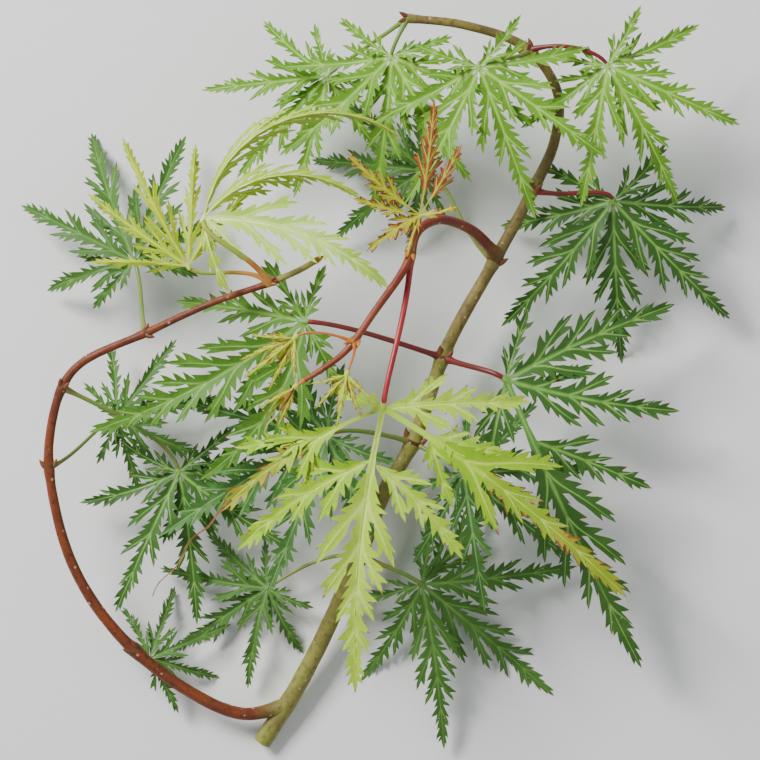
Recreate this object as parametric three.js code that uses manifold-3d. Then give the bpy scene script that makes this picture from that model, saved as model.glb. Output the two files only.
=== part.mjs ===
// A cut branch of a lace-leaved Japanese maple, lying on the ground.
// Millimetres and degrees. +X is right and +Y is up the branch; +Z is up from the ground it lies on.
// The branch rests on its cut end and on the tips of its lowest leaves.

import * as THREE from 'three';
import { mergeVertices } from 'three/addons/utils/BufferGeometryUtils.js';
import Module from 'manifold-3d';

const wasm = await Module();
wasm.setup();

// The middle of the branch's reach in the plan of limbs and leaves below. The origin is on the ground there.
const MIDDLE = [-0.8, -0.7];

// Limbs and stalks
const CLEARANCE = 0.3;            // between a stalk or bough and the limb that bears it
const LIMB_SIDES = 7;
const LIMB_STEP = 6;              // between the rings of a limb
const RING_APART = 1;             // rings stand at least this far apart
const SWELLING = 0.22;            // a node is this much thicker than the limb
const SWELLING_LENGTH = 2.2;
const STALK_SIDES = 5;
const STALK_RINGS = 5;
const STALK_THICK = 1.5;          // diameter of a big leaf's stalk at its foot
const STALK_TAPER = 0.2;          // share of its thickness that a stalk loses
const STALK_SPREAD = 0.7;         // share of its way along the limb that a stalk gives up as it leaves
const STALK_PULLS = [0.4, 0.22];  // how far it keeps its direction at the limb and at the leaf

// Leaves
const FULL_REACH = 64;            // length of the longest lobe of a big leaf
const SMALLEST = 0.3;             // size of the smallest leaf beside a big one
const HUB_SIZE = 1.4;             // radius of the knob where the lobes of a big leaf meet
const SMALL_HUB = 0.2;            // the least share of that which a hub has
const SMALL_STALK = 0.35;         // the same for the stalk
const THIN = 0.45;                // thickness of the least blade, and what a big one has more
const RIB_STEPS = 24;
const DROOP_POWER = 1.3;          // a lobe turns down more towards its tip
const SIDE_DROOP = 0.8;           // droop of a long side lobe beside its lobe's
const SMOOTHING = 0.05;           // finer edges than this are left out

// How a lobe is cut. Lengths and places are shares of the lobe's own reach.
const FIRST_PAIR = 0.2;           // where the first two lobules stand
const LAST_PAIR = 0.86;
const PAIR_SPACING = 11;          // a lobe has another pair of lobules for each such length
const MOST_PAIRS = 5;
const LOBULE_LENGTH = 0.38;       // of a lobule at the lobe's foot; those further out are shorter
const LOBULE_WIDTH = 0.13;        // along the rib, at its foot
const LOBULE_ANGLE = 39;          // between a lobule and its rib
const LOBULE_HOOK = 11;           // how far its tip turns on towards the lobe's tip
const LOBULE_TAPER = 0.6;         // how much narrower lobules are towards the lobe's tip
const SHOULDERED = 7;             // a lobule longer than this has a shoulder
const SHOULDER = 0.6;             // where on the lobule it is
const PAIR_EASE = 0.55;           // the last pair stands this part of a spacing further out
const MARGIN = 0.024;             // half the width of the blade beside its rib
const MARGIN_TAPER = 0.5;
const NECK = 0.014;               // half the width of the bare foot of a lobe
const FOOT = 0.2;                 // how far from the leaf's centre that foot starts
const FOLD = 0.16;                // the halves of a blade rise in a shallow trough
const SAG = 0.011;                // and sink again further from the rib
const FAN_SHARES = [1, 0.9, 0.7, 0.42];
const FAN_BEND = 4;               // each lobe further from the middle one bends this much more
const LEAN = 6;                   // every other lobe starts this much higher than its leaf, the rest lower
const UNEVEN = { turn: 4, reach: 0.06, bend: 9, length: 0.14, angle: 5 };

// Colours
const PALE_GREEN = 0xc3dc7c;
const CREAM_GREEN = 0xdfeab2;
const GOLD = 0xd2b23c;
const YELLOW_GREEN = 0xb9cf5c;
const SPRING_GREEN = 0x86b552;
const MID_GREEN = 0x6a9c46;
const DEEP_GREEN = 0x4f7c42;
const BLUE_GREEN = 0x5f9c66;
const OLIVE_BARK = 0x8d8148;
const RED_BARK = 0x8c4430;
const RUSSET_BARK = 0xa2603a;

// Limbs: the route of each one's middle, and its thickness at the two ends.
const LIMBS = {
  main_stem: {
    route: [[-27.4, -84, 2.04], [-18, -69, 4.2], [-5.8, -43, 7.5], [1.2, -25.3, 9.5], [7.4, -14.5, 10.5],
      [15.4, 7.6, 12.5], [26.8, 28.4, 14.5], [34.2, 42.2, 16.5], [39.5, 54, 19], [40, 65, 22], [33, 74.5, 25],
      [19, 79.5, 27], [6, 81, 27.5]],
    thick: [4.2, 1.8],
    nodes: [0.24, 0.38, 0.48, 0.6, 0.69, 0.86, 1],
    colour: OLIVE_BARK,
  },
  left_bough: {
    from: 'main_stem',
    route: [[-22.3, -75.8, 3.2], [-32, -77, 5.5], [-44, -71.5, 8.5], [-58.4, -59.6, 12.5], [-68.7, -44.4, 17],
      [-73.5, -28.3, 21], [-74.4, -13.5, 24], [-69, 1.8, 27.5], [-51.3, 10.9, 30.5], [-36.7, 17.4, 32.5],
      [-24.4, 21.6, 33.5], [-17.8, 24.4, 34.5], [-13.8, 26.7, 34.5]],
    thick: [3, 1.3],
    nodes: [0.23, 0.51, 0.62, 0.755, 0.93],
    parts: { left_bough_lower: [0, 0.46], left_bough_upper: [0.46, 1] },
    colour: RED_BARK,
  },
  front_shoot: {
    from: 'main_stem',
    route: [[26.8, 28.4, 14.5], [20.5, 33.8, 24], [13, 35.6, 33], [8.2, 32.5, 38.5], [5.9, 25.5, 41],
      [-1.1, 15.1, 43.5], [-7.7, 6.1, 45], [-13.6, 1.7, 45.5], [-16.4, 0, 45.5]],
    thick: [2.6, 1.2],
    nodes: [0.5, 0.82],
    colour: RUSSET_BARK,
  },
};

// Leaves. Each has a centre, the limb and the share of its length where its stalk starts, and either
// its own lobes or a regular fan of them. A lobe leaves the centre at the heading turn, is as long as
// its reach, and curves by bend on the way; it may have long side lobes and a bare share at its tip.
// climb is how steeply the lobes leave the centre and droop how far they turn down towards the tip.
const LEAVES = {
  front_leaf: {
    limb: 'front_shoot', at: 0.5, centre: [0.7, -6.1, 42], heading: -95, colour: PALE_GREEN, arch: 2,
    climb: -2, droop: 16, tilt: 0,
    lobes: [
      { turn: -103, reach: 65, bend: 15,
        sides: [
          { at: 0.18, turn: -158, reach: 37, bend: 24 },
          { at: 0.19, turn: -35, reach: 30, bend: -24 },
        ] },
      { turn: -31, reach: 70, bend: -14,
        sides: [{ at: 0.17, turn: -9, reach: 20, bend: -12 }, { at: 0.17, turn: -76, reach: 17, bend: 10 }] },
      { turn: 6, reach: 33, bend: -8 },
      { turn: -160, reach: 66, bend: 38, bare: 0.34,
        sides: [{ at: 0.24, turn: 184, reach: 19, bend: 6 }, { at: 0.25, turn: -106, reach: 13, bend: 14 }] },
      { turn: 158, reach: 11, bend: 10 },
    ],
  },
  gold_leaf: {
    limb: 'front_shoot', at: 0.5, centre: [8.7, 35.9, 48], heading: 95, colour: GOLD, arch: 3,
    climb: 26, droop: 20, tilt: 6,
    lobes: [
      { turn: 80, reach: 27, bend: 6 },
      { turn: 148, reach: 22, bend: -14 },
      { turn: 172, reach: 16, bend: -10 },
      { turn: -152, reach: 15, bend: 14 },
      { turn: -112, reach: 10, bend: 10 },
      { turn: 2, reach: 9, bend: 20 },
      { turn: 55, reach: 19, bend: 8 },
    ],
  },
  bud_leaf_left: {
    limb: 'front_shoot', at: 0.82, centre: [-18.6, 9.2, 45.5], heading: -135, colour: YELLOW_GREEN, arch: 1,
    climb: 16, droop: 46, tilt: 0,
    fan: { reach: 14.5, count: 5, spread: 21, seed: 11 },
  },
  bud_leaf_right: {
    limb: 'front_shoot', at: 0.82, centre: [-7.2, 1.2, 49], heading: -102, colour: YELLOW_GREEN, arch: 1,
    climb: 10, droop: 34, tilt: 0,
    fan: { reach: 12, count: 5, spread: 27, seed: 12 },
  },
  shoot_tip_leaf: {
    limb: 'front_shoot', at: 1, centre: [-18.6, -1.6, 45], heading: -132, colour: GOLD, arch: 0,
    climb: -8, droop: 18, tilt: 0,
    fan: { reach: 11, count: 3, spread: 16, seed: 13 },
  },
  pale_leaf: {
    limb: 'left_bough', at: 0.93, centre: [-38.8, 35.7, 38.5], heading: 72, colour: CREAM_GREEN, arch: 5,
    climb: 14, droop: 38, tilt: 0,
    lobes: [
      { turn: 2, reach: 46, bend: -46 },
      { turn: 80, reach: 58, bend: -118 },
      { turn: 52, reach: 40, bend: -92 },
      { turn: -38, reach: 13, bend: -20 },
      { turn: -84, reach: 18, bend: 26 },
    ],
  },
  yellow_leaf: {
    limb: 'left_bough', at: 0.93, centre: [-42.5, 25.2, 35], heading: 118, colour: YELLOW_GREEN, arch: -2.2,
    climb: 8, droop: 52, tilt: 0,
    fan: { reach: 35, count: 5, spread: 29, seed: 15 },
  },
  top_leaf: {
    limb: 'main_stem', at: 1, centre: [2.5, 72.5, 27], heading: -96, colour: SPRING_GREEN, arch: 2,
    climb: 2, droop: 22, tilt: 0,
    fan: { reach: 36, count: 7, spread: 37, seed: 21 },
  },
  top_left_leaf: {
    limb: 'main_stem', at: 1, centre: [-12, 69, 18], heading: -138, colour: SPRING_GREEN, arch: -2,
    climb: 2, droop: 24, tilt: 0,
    fan: { reach: 31, count: 7, spread: 38, seed: 22 },
  },
  top_middle_leaf: {
    limb: 'main_stem', at: 0.86, centre: [22, 69.5, 33], heading: -72, colour: SPRING_GREEN, arch: 1,
    climb: 4, droop: 20, tilt: 0,
    fan: { reach: 38, count: 7, spread: 40, seed: 23 },
  },
  top_right_leaf: {
    limb: 'main_stem', at: 0.86, centre: [51, 70.5, 27], heading: -62, colour: SPRING_GREEN, arch: 2,
    climb: 0, droop: 26, tilt: 0,
    fan: { reach: 36, count: 7, spread: 40, seed: 24 },
  },
  upper_right_leaf: {
    limb: 'main_stem', at: 0.69, centre: [52.9, 40.7, 17], heading: -84, colour: MID_GREEN, arch: 3,
    climb: -5, droop: 36, tilt: 0,
    fan: { reach: 44, count: 7, spread: 40, seed: 25 },
  },
  upper_middle_leaf: {
    limb: 'main_stem', at: 0.6, centre: [10, 48, 11], heading: 176, colour: DEEP_GREEN, arch: 2,
    climb: -6, droop: 39, tilt: 0,
    fan: { reach: 30, count: 7, spread: 39, seed: 26 },
  },
  right_leaf: {
    limb: 'main_stem', at: 0.48, centre: [28.4, 0, 22], heading: -40, colour: MID_GREEN, arch: 2,
    climb: 0, droop: 18, tilt: 0,
    lobes: [
      { turn: -67, reach: 74, bend: 5, sides: [{ at: 0.2, turn: -20, reach: 30, bend: -4 }] },
      { turn: -16, reach: 41, bend: 12 },
      { turn: 29, reach: 43, bend: -10 },
      { turn: 76, reach: 17, bend: -8 },
      { turn: -104, reach: 33, bend: 10 },
    ],
  },
  left_leaf: {
    limb: 'main_stem', at: 0.48, centre: [-17, 13.1, 28.5], heading: 178, colour: MID_GREEN, arch: 3,
    climb: 0, droop: 20, tilt: 0,
    lobes: [
      { turn: -144, reach: 56, bend: -18 },
      { turn: 167, reach: 30, bend: 8 },
      { turn: -100, reach: 45, bend: -48 },
      { turn: 118, reach: 17, bend: 10 },
      { turn: 74, reach: 14, bend: -10 },
      { turn: -58, reach: 19, bend: -12 },
    ],
  },
  under_left_leaf: {
    limb: 'main_stem', at: 0.38, centre: [-12, -12.5, 20], heading: -152, colour: BLUE_GREEN, arch: 1.5,
    climb: 4, droop: 10, tilt: 0,
    fan: { reach: 43, count: 7, spread: 40, seed: 31 },
  },
  under_right_leaf: {
    limb: 'main_stem', at: 0.38, centre: [19, -21, 15], heading: -40, colour: BLUE_GREEN, arch: 1,
    climb: 2, droop: 12, tilt: 0,
    fan: { reach: 34, count: 7, spread: 39, seed: 32 },
  },
  lower_right_leaf: {
    limb: 'main_stem', at: 0.24, centre: [9.6, -47, 7.7], heading: -39, colour: DEEP_GREEN, arch: 1,
    climb: -4, droop: 22, tilt: 0,
    fan: { reach: 42, count: 7, spread: 40, seed: 33 },
  },
  lower_left_leaf: {
    limb: 'left_bough', at: 0.62, centre: [-46, -21, 13], heading: -80, colour: MID_GREEN, arch: 1,
    climb: -1, droop: 13, tilt: 0,
    fan: { reach: 38, count: 7, spread: 39, seed: 34 },
  },
  bottom_left_leaf: {
    limb: 'main_stem', at: 0.24, centre: [-26, -48, 6], heading: -148, colour: DEEP_GREEN, arch: 1.5,
    climb: -4, droop: 20, tilt: 0,
    fan: { reach: 28, count: 7, spread: 38, seed: 35 },
  },
  far_left_leaf: {
    limb: 'left_bough', at: 0.51, centre: [-60.5, -9, 11], heading: 12, colour: DEEP_GREEN, arch: 0,
    climb: 0, droop: 16, tilt: 0,
    fan: { reach: 27, count: 7, spread: 39, seed: 36 },
  },
  upper_left_leaf: {
    limb: 'left_bough', at: 0.755, centre: [-56, 27, 15], heading: 112, colour: DEEP_GREEN, arch: -1,
    climb: -4, droop: 41, tilt: 0,
    fan: { reach: 37, count: 7, spread: 38, seed: 37 },
  },
  corner_left_leaf: {
    limb: 'left_bough', at: 0.23, centre: [-53, -64, 7.5], heading: 26, colour: DEEP_GREEN, arch: 0,
    climb: -8, droop: 27, tilt: 0,
    fan: { reach: 21, count: 5, spread: 42, seed: 39 },
  },
};

const radians = THREE.MathUtils.degToRad;
const UP = new THREE.Vector3(0, 0, 1);

// The unit vector with a heading in the plan and a climb above it.
function direction(heading, climb) {
  const flat = Math.cos(radians(climb));
  return new THREE.Vector3(
    flat * Math.cos(radians(heading)),
    flat * Math.sin(radians(heading)),
    Math.sin(radians(climb)),
  );
}

// Small variations, up to plus or minus spread, that come out the same every time for one seed.
function dealer(seed) {
  let state = seed;
  return (spread) => {
    state = (Math.imul(state, 1664525) + 1013904223) >>> 0;
    return (state / 4294967296 * 2 - 1) * spread;
  };
}

// Closed solids

function solidOf(positions, faces) {
  return new wasm.Manifold(new wasm.Mesh({
    numProp: 3,
    vertProperties: new Float32Array(positions.flatMap((point) => point.toArray())),
    triVerts: new Uint32Array(faces.flat()),
  }));
}

function geometryOf(solid) {
  const mesh = solid.getMesh();
  const geometry = new THREE.BufferGeometry();
  geometry.setAttribute('position', new THREE.BufferAttribute(new Float32Array(mesh.vertProperties), 3));
  geometry.setIndex(new THREE.BufferAttribute(new Uint32Array(mesh.triVerts), 1));
  geometry.computeVertexNormals();
  return geometry;
}

// A round tube with flat ends along stations, each of which has a point, a direction and a radius.
function tube(stations, sides) {
  const positions = [];
  const faces = [];
  for (const { point, along, radius } of stations) {
    const across = new THREE.Vector3().crossVectors(UP, along).normalize();
    const over = new THREE.Vector3().crossVectors(along, across);
    for (let i = 0; i < sides; i += 1) {
      const angle = (i + 0.5) / sides * 2 * Math.PI;
      positions.push(point.clone()
        .addScaledVector(across, radius * Math.cos(angle))
        .addScaledVector(over, radius * Math.sin(angle)));
    }
  }
  for (let ring = 0; ring + 1 < stations.length; ring += 1) {
    for (let i = 0; i < sides; i += 1) {
      const a = ring * sides + i;
      const b = ring * sides + (i + 1) % sides;
      faces.push([a, b, b + sides], [a, b + sides, a + sides]);
    }
  }
  const last = (stations.length - 1) * sides;
  for (let i = 1; i + 1 < sides; i += 1) {
    faces.push([0, i + 1, i], [last, last + i, last + i + 1]);
  }
  return solidOf(positions, faces);
}

// Limbs

class Limb {
  constructor({ route, thick, nodes }) {
    this.curve = new THREE.CatmullRomCurve3(route.map((point) => new THREE.Vector3(...point)));
    this.length = this.curve.getLength();
    this.thick = thick;
    this.nodes = nodes;
    this.samples = this.curve.getSpacedPoints(200);
  }

  radius(share) {
    const swell = this.nodes.reduce((sum, node) => {
      const away = (share - node) * this.length / SWELLING_LENGTH;
      return sum + SWELLING * Math.exp(-away * away);
    }, 0);
    return THREE.MathUtils.lerp(this.thick[0], this.thick[1], share) / 2 * (1 + swell);
  }

  // How far a point is from the limb's surface.
  gap(point) {
    let nearest = Infinity;
    this.samples.forEach((sample, i) => {
      const share = i / (this.samples.length - 1);
      nearest = Math.min(nearest, sample.distanceTo(point) - this.radius(share));
    });
    return nearest;
  }

  station(share) {
    return {
      point: this.curve.getPointAt(share),
      along: this.curve.getTangentAt(share),
      radius: this.radius(share),
    };
  }
}

// Shares of the limb where its rings stand: evenly spaced, with three more at each node.
function ringShares(limb, start, end) {
  const shares = [];
  const count = Math.max(2, Math.round((end - start) * limb.length / LIMB_STEP));
  for (let i = 0; i <= count; i += 1) {
    shares.push(Math.min(start + (end - start) * i / count, 1));
  }
  const half = SWELLING_LENGTH / limb.length;
  const isFree = (share) => shares.every((other) => Math.abs(other - share) * limb.length > RING_APART);
  for (const node of limb.nodes) {
    for (const share of [node, node - half, node + half]) {
      if (share > start && share < end && isFree(share)) {
        shares.push(share);
      }
    }
  }
  return shares.sort((a, b) => a - b);
}

// The first share of a curve whose cut end stands clear of the limb it comes from.
function clearShare(curve, radius, parent) {
  const steps = 400;
  for (let i = 0; i < steps; i += 1) {
    const share = i / steps;
    const point = curve.getPointAt(share);
    const along = curve.getTangentAt(share);
    const across = new THREE.Vector3().crossVectors(UP, along).normalize();
    const over = new THREE.Vector3().crossVectors(along, across);
    let gap = parent.gap(point);
    for (let turn = 0; turn < 8; turn += 1) {
      const angle = turn / 4 * Math.PI;
      const edge = point.clone()
        .addScaledVector(across, radius * Math.cos(angle))
        .addScaledVector(over, radius * Math.sin(angle));
      gap = Math.min(gap, parent.gap(edge));
    }
    if (gap >= CLEARANCE) {
      return share;
    }
  }
  throw new Error('a stalk never leaves its limb');
}

// The solid of a limb from one share of its length to another. Where it is split, its parts stand clear.
function limbSolid(limb, parent, [from, to]) {
  const split = CLEARANCE / 2 / limb.length;
  let start = from > 0 ? from + split : 0;
  if (parent && from === 0) {
    start = clearShare(limb.curve, limb.radius(0), parent);
  }
  const shares = ringShares(limb, start, to < 1 ? to - split : 1);
  return tube(shares.map((share) => limb.station(share)), LIMB_SIDES);
}

// Leaves

// The middle line of a lobe. It leaves its start at a heading and a climb, and turns as it goes.
class Rib {
  constructor({ start, turn, climb, bend, droop, reach }) {
    this.reach = reach;
    this.step = reach / RIB_STEPS;
    this.points = [start.clone()];
    this.headings = [];
    this.climbs = [];
    for (let i = 0; i <= RIB_STEPS; i += 1) {
      const share = i / RIB_STEPS;
      this.headings.push(turn + bend * share);
      this.climbs.push(climb - droop * share ** DROOP_POWER);
    }
    for (let i = 0; i < RIB_STEPS; i += 1) {
      const heading = (this.headings[i] + this.headings[i + 1]) / 2;
      const slope = (this.climbs[i] + this.climbs[i + 1]) / 2;
      this.points.push(this.points[i].clone().addScaledVector(direction(heading, slope), this.step));
    }
  }

  // The place and the directions at a distance u along the rib.
  at(u) {
    const index = THREE.MathUtils.clamp(Math.floor(u / this.step), 0, RIB_STEPS - 1);
    const rest = u / this.step - index;
    const mix = THREE.MathUtils.clamp(rest, 0, 1);
    const heading = THREE.MathUtils.lerp(this.headings[index], this.headings[index + 1], mix);
    const climb = THREE.MathUtils.lerp(this.climbs[index], this.climbs[index + 1], mix);
    const point = this.points[index].clone().lerp(this.points[index + 1], rest);
    const along = direction(heading, climb);
    const across = direction(heading + 90, 0);
    const over = new THREE.Vector3().crossVectors(along, across);
    return { point, across, over, heading, climb };
  }

  // Where a point of the flat blade, u along the rib and v to its left, lies in space.
  place(u, v) {
    const { point, across, over } = this.at(u);
    const rise = FOLD * Math.abs(v) - SAG * v * v;
    return { middle: point.addScaledVector(across, v).addScaledVector(over, rise), over };
  }
}

// The flat shape of a lobe: rows across its rib, some with a lobule on each side down to the row before.
function lobeRows({ reach, bare = 0, sides }, deal) {
  const leafy = reach * (1 - bare);
  const pairs = THREE.MathUtils.clamp(Math.round(leafy / PAIR_SPACING), 2, MOST_PAIRS);
  const rows = [{ u: FOOT, width: NECK * leafy }];
  for (let i = sides ? 1 : 0; i < pairs; i += 1) {
    const place = FIRST_PAIR + (LAST_PAIR - FIRST_PAIR) * i / (pairs - PAIR_EASE);
    const [left, right] = [1, -1].map((side) => {
      const length = leafy * LOBULE_LENGTH * (1 - place) * (1 + deal(UNEVEN.length));
      return lobule(leafy * place, length, LOBULE_ANGLE + deal(UNEVEN.angle), side);
    });
    const half = LOBULE_WIDTH / 2 * leafy * (1 - LOBULE_TAPER * place);
    const width = MARGIN * leafy * (1 - MARGIN_TAPER * place);
    rows.push({ u: leafy * place - half, width });
    rows.push({ u: leafy * place + half, width, left, right });
  }
  return { rows, tip: reach };
}

// The corners of one lobule after its foot: a shoulder on its outer edge where it is long, and its tip.
function lobule(foot, length, angle, side) {
  const corner = (share, turn) => [
    foot + length * share * Math.cos(radians(turn)),
    side * length * share * Math.sin(radians(turn)),
  ];
  const shoulder = length > SHOULDERED ? corner(SHOULDER, angle + LOBULE_HOOK) : null;
  return { shoulder, tip: corner(1, angle - LOBULE_HOOK / 2) };
}

// A thin closed blade over the rows of a lobe, sharp at its tips. No point of it lies under the ground.
function bladeSolid(rib, { rows, tip }, thickness) {
  const positions = [];
  const triangles = [];
  const corner = (u, v, sharp = false) => {
    const { middle, over } = rib.place(u, v);
    const below = middle.clone().addScaledVector(over, -thickness / 2);
    const lift = Math.max(0, -below.z);
    if (sharp) {
      positions.push(middle.addScaledVector(UP, lift));
      return { top: positions.length - 1, bottom: positions.length - 1 };
    }
    positions.push(middle.addScaledVector(over, thickness / 2).addScaledVector(UP, lift));
    positions.push(below.addScaledVector(UP, lift));
    return { top: positions.length - 2, bottom: positions.length - 1 };
  };
  const triangle = (a, b, c) => {
    if (a !== b && b !== c && c !== a) {
      triangles.push([a, b, c]);
    }
  };
  const sheet = (a, b, c) => {
    triangle(a.top, b.top, c.top);
    triangle(c.bottom, b.bottom, a.bottom);
  };
  const wall = (from, to) => {
    triangle(to.top, from.top, from.bottom);
    triangle(to.top, from.bottom, to.bottom);
  };
  // One side of a cell: its lobule, if it has one, between the near and the far row.
  const edge = (near, far, shape, onRight) => {
    const turned = (draw, ...corners) => draw(...(onRight ? corners : corners.reverse()));
    if (!shape) {
      turned(wall, near, far);
      return;
    }
    const point = corner(...shape.tip, true);
    let outer = near;
    if (shape.shoulder) {
      outer = corner(...shape.shoulder);
      turned(sheet, near, outer, far);
      turned(wall, near, outer);
    }
    turned(sheet, outer, point, far);
    turned(wall, outer, point);
    turned(wall, point, far);
  };
  let near;
  for (const row of rows) {
    const far = { left: corner(row.u, row.width), right: corner(row.u, -row.width) };
    if (near) {
      sheet(near.right, far.right, far.left);
      sheet(near.right, far.left, near.left);
      edge(near.right, far.right, row.right, true);
      edge(near.left, far.left, row.left, false);
    } else {
      wall(far.left, far.right);
    }
    near = far;
  }
  const end = corner(tip, 0, true);
  sheet(near.right, end, near.left);
  wall(near.right, end);
  wall(end, near.left);
  return solidOf(positions, triangles);
}

// A regular fan of lobes round the leaf's heading, the middle one longest.
function fanLobes(heading, { reach, count, spread }, deal) {
  const lobes = [];
  for (let i = 0; i < count; i += 1) {
    const side = i - (count - 1) / 2;
    lobes.push({
      turn: heading + side * spread + deal(UNEVEN.turn),
      reach: reach * FAN_SHARES[Math.abs(side)] * (1 + deal(UNEVEN.reach)),
      bend: side * FAN_BEND + deal(UNEVEN.bend),
      lean: i % 2 === 0 ? LEAN : -LEAN,
    });
  }
  return lobes;
}

// A stalk from the limb to the leaf's centre, which it meets in line with the leaf.
function stalkCurve(limb, leaf) {
  const start = limb.curve.getPointAt(leaf.at);
  const end = new THREE.Vector3(...leaf.centre);
  const along = limb.curve.getTangentAt(leaf.at);
  const whole = end.clone().sub(start);
  const length = whole.length();
  const leaving = whole.clone().normalize();
  if (leaf.at < 1) {
    leaving.addScaledVector(along, -STALK_SPREAD * leaving.dot(along)).normalize();
  }
  const arriving = direction(leaf.heading, leaf.tilt + leaf.climb / 2);
  return new THREE.CubicBezierCurve3(
    start,
    start.clone().addScaledVector(leaving, length * STALK_PULLS[0]).addScaledVector(UP, leaf.arch),
    end.clone().addScaledVector(arriving, -length * STALK_PULLS[1]).addScaledVector(UP, leaf.arch / 2),
    end,
  );
}

function stalkSolid(limb, leaf, radius) {
  const curve = stalkCurve(limb, leaf);
  const start = clearShare(curve, radius, limb);
  const stations = [];
  for (let i = 0; i < STALK_RINGS; i += 1) {
    const share = start + (1 - start) * i / (STALK_RINGS - 1);
    stations.push({
      point: curve.getPointAt(share),
      along: curve.getTangentAt(share),
      radius: radius * (1 - STALK_TAPER * share),
    });
  }
  return tube(stations, STALK_SIDES);
}

// The knob where a leaf's stalk and lobes meet.
function hubSolid(centre, radius) {
  const ball = new THREE.IcosahedronGeometry(radius, 0);
  ball.deleteAttribute('normal');
  ball.deleteAttribute('uv');
  const merged = mergeVertices(ball);
  const position = merged.getAttribute('position');
  const corners = [];
  for (let i = 0; i < position.count; i += 1) {
    corners.push(new THREE.Vector3().fromBufferAttribute(position, i).add(centre));
  }
  return solidOf(corners, Array.from(merged.index.array));
}

// The blade of one lobe, and after it the blades of its long side lobes.
function lobeSolids(lobe, start, leaf, thickness, deal) {
  const tilt = leaf.tilt * Math.cos(radians(lobe.turn - leaf.heading));
  const climb = lobe.climb ?? leaf.climb + tilt + (lobe.lean ?? 0);
  const rib = new Rib({
    start, turn: lobe.turn, climb, bend: lobe.bend, droop: leaf.droop * (lobe.share ?? 1), reach: lobe.reach,
  });
  const solids = [bladeSolid(rib, lobeRows(lobe, deal), thickness)];
  for (const side of lobe.sides ?? []) {
    const foot = rib.at(side.at * lobe.reach);
    const sideLobe = { ...side, climb: foot.climb, share: SIDE_DROOP };
    solids.push(...lobeSolids(sideLobe, foot.point, leaf, thickness, deal));
  }
  return solids;
}

function leafSolid(leaf, limb, seed) {
  const deal = dealer(leaf.fan ? leaf.fan.seed : seed);
  const lobes = leaf.lobes ?? fanLobes(leaf.heading, leaf.fan, deal);
  const reach = Math.max(...lobes.map((lobe) => lobe.reach));
  const size = THREE.MathUtils.clamp(reach / FULL_REACH, SMALLEST, 1);
  const thickness = THIN + THIN * size;
  const centre = new THREE.Vector3(...leaf.centre);
  const stalkRadius = STALK_THICK / 2 * THREE.MathUtils.lerp(SMALL_STALK, 1, size);
  const hubRadius = HUB_SIZE * THREE.MathUtils.lerp(SMALL_HUB, 1, size);
  const parts = [stalkSolid(limb, leaf, stalkRadius), hubSolid(centre, hubRadius)];
  for (const lobe of lobes) {
    parts.push(...lobeSolids(lobe, centre, leaf, thickness, deal));
  }
  return wasm.Manifold.union(parts).simplify(SMOOTHING);
}

// The branch

function meshOf(name, solid, colour, roughness) {
  const material = new THREE.MeshStandardMaterial({ color: colour, roughness, metalness: 0 });
  const mesh = new THREE.Mesh(geometryOf(solid), material);
  mesh.name = name;
  return mesh;
}

const branch = new THREE.Group();
branch.position.set(-MIDDLE[0], -MIDDLE[1], 0);
const limbs = {};
for (const [name, spec] of Object.entries(LIMBS)) {
  limbs[name] = new Limb(spec);
  for (const [part, range] of Object.entries(spec.parts ?? { [name]: [0, 1] })) {
    branch.add(meshOf(part, limbSolid(limbs[name], limbs[spec.from], range), spec.colour, 0.6));
  }
}
Object.entries(LEAVES).forEach(([name, leaf], i) => {
  branch.add(meshOf(name, leafSolid(leaf, limbs[leaf.limb], i + 1), leaf.colour, 0.5));
});

export default branch;
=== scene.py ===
# A cut branch of a lace-leaved Japanese maple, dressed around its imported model.
# The limbs and leaves grow by the rule of the part's source, on the same plan in millimetres and degrees,
# and are carried finer here: toothed lobules, veins, red tips, bark, buds and the rings of the cut end.
# +Y is up the branch, +X is right and +Z is up from the ground it lies on.

import math
from bisect import bisect_right
from functools import cache

import bpy
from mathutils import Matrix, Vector, kdtree, noise
from mathutils.geometry import delaunay_2d_cdt


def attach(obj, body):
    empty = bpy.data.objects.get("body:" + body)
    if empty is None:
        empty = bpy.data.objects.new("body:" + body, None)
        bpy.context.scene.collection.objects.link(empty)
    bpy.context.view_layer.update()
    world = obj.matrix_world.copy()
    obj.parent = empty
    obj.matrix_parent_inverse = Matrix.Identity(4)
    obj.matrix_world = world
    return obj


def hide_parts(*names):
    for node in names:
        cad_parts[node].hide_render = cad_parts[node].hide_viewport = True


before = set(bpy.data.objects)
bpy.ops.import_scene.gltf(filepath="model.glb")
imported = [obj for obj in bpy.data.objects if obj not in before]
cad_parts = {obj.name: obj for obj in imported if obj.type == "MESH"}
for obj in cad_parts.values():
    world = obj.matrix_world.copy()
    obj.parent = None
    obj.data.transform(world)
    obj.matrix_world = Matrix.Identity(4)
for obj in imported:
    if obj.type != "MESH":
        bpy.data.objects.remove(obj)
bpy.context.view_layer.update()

# The plan and the frame
MIDDLE = Vector((-0.8, -0.7, 0))
TO_METRES = 0.001
UP = Vector((0, 0, 1))

# Limbs and stalks, as in the source
SWELLING = 0.22
SWELLING_LENGTH = 2.2
STALK_THICK = 1.5
STALK_TAPER = 0.2
STALK_SPREAD = 0.7
STALK_PULLS = (0.4, 0.22)

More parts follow.
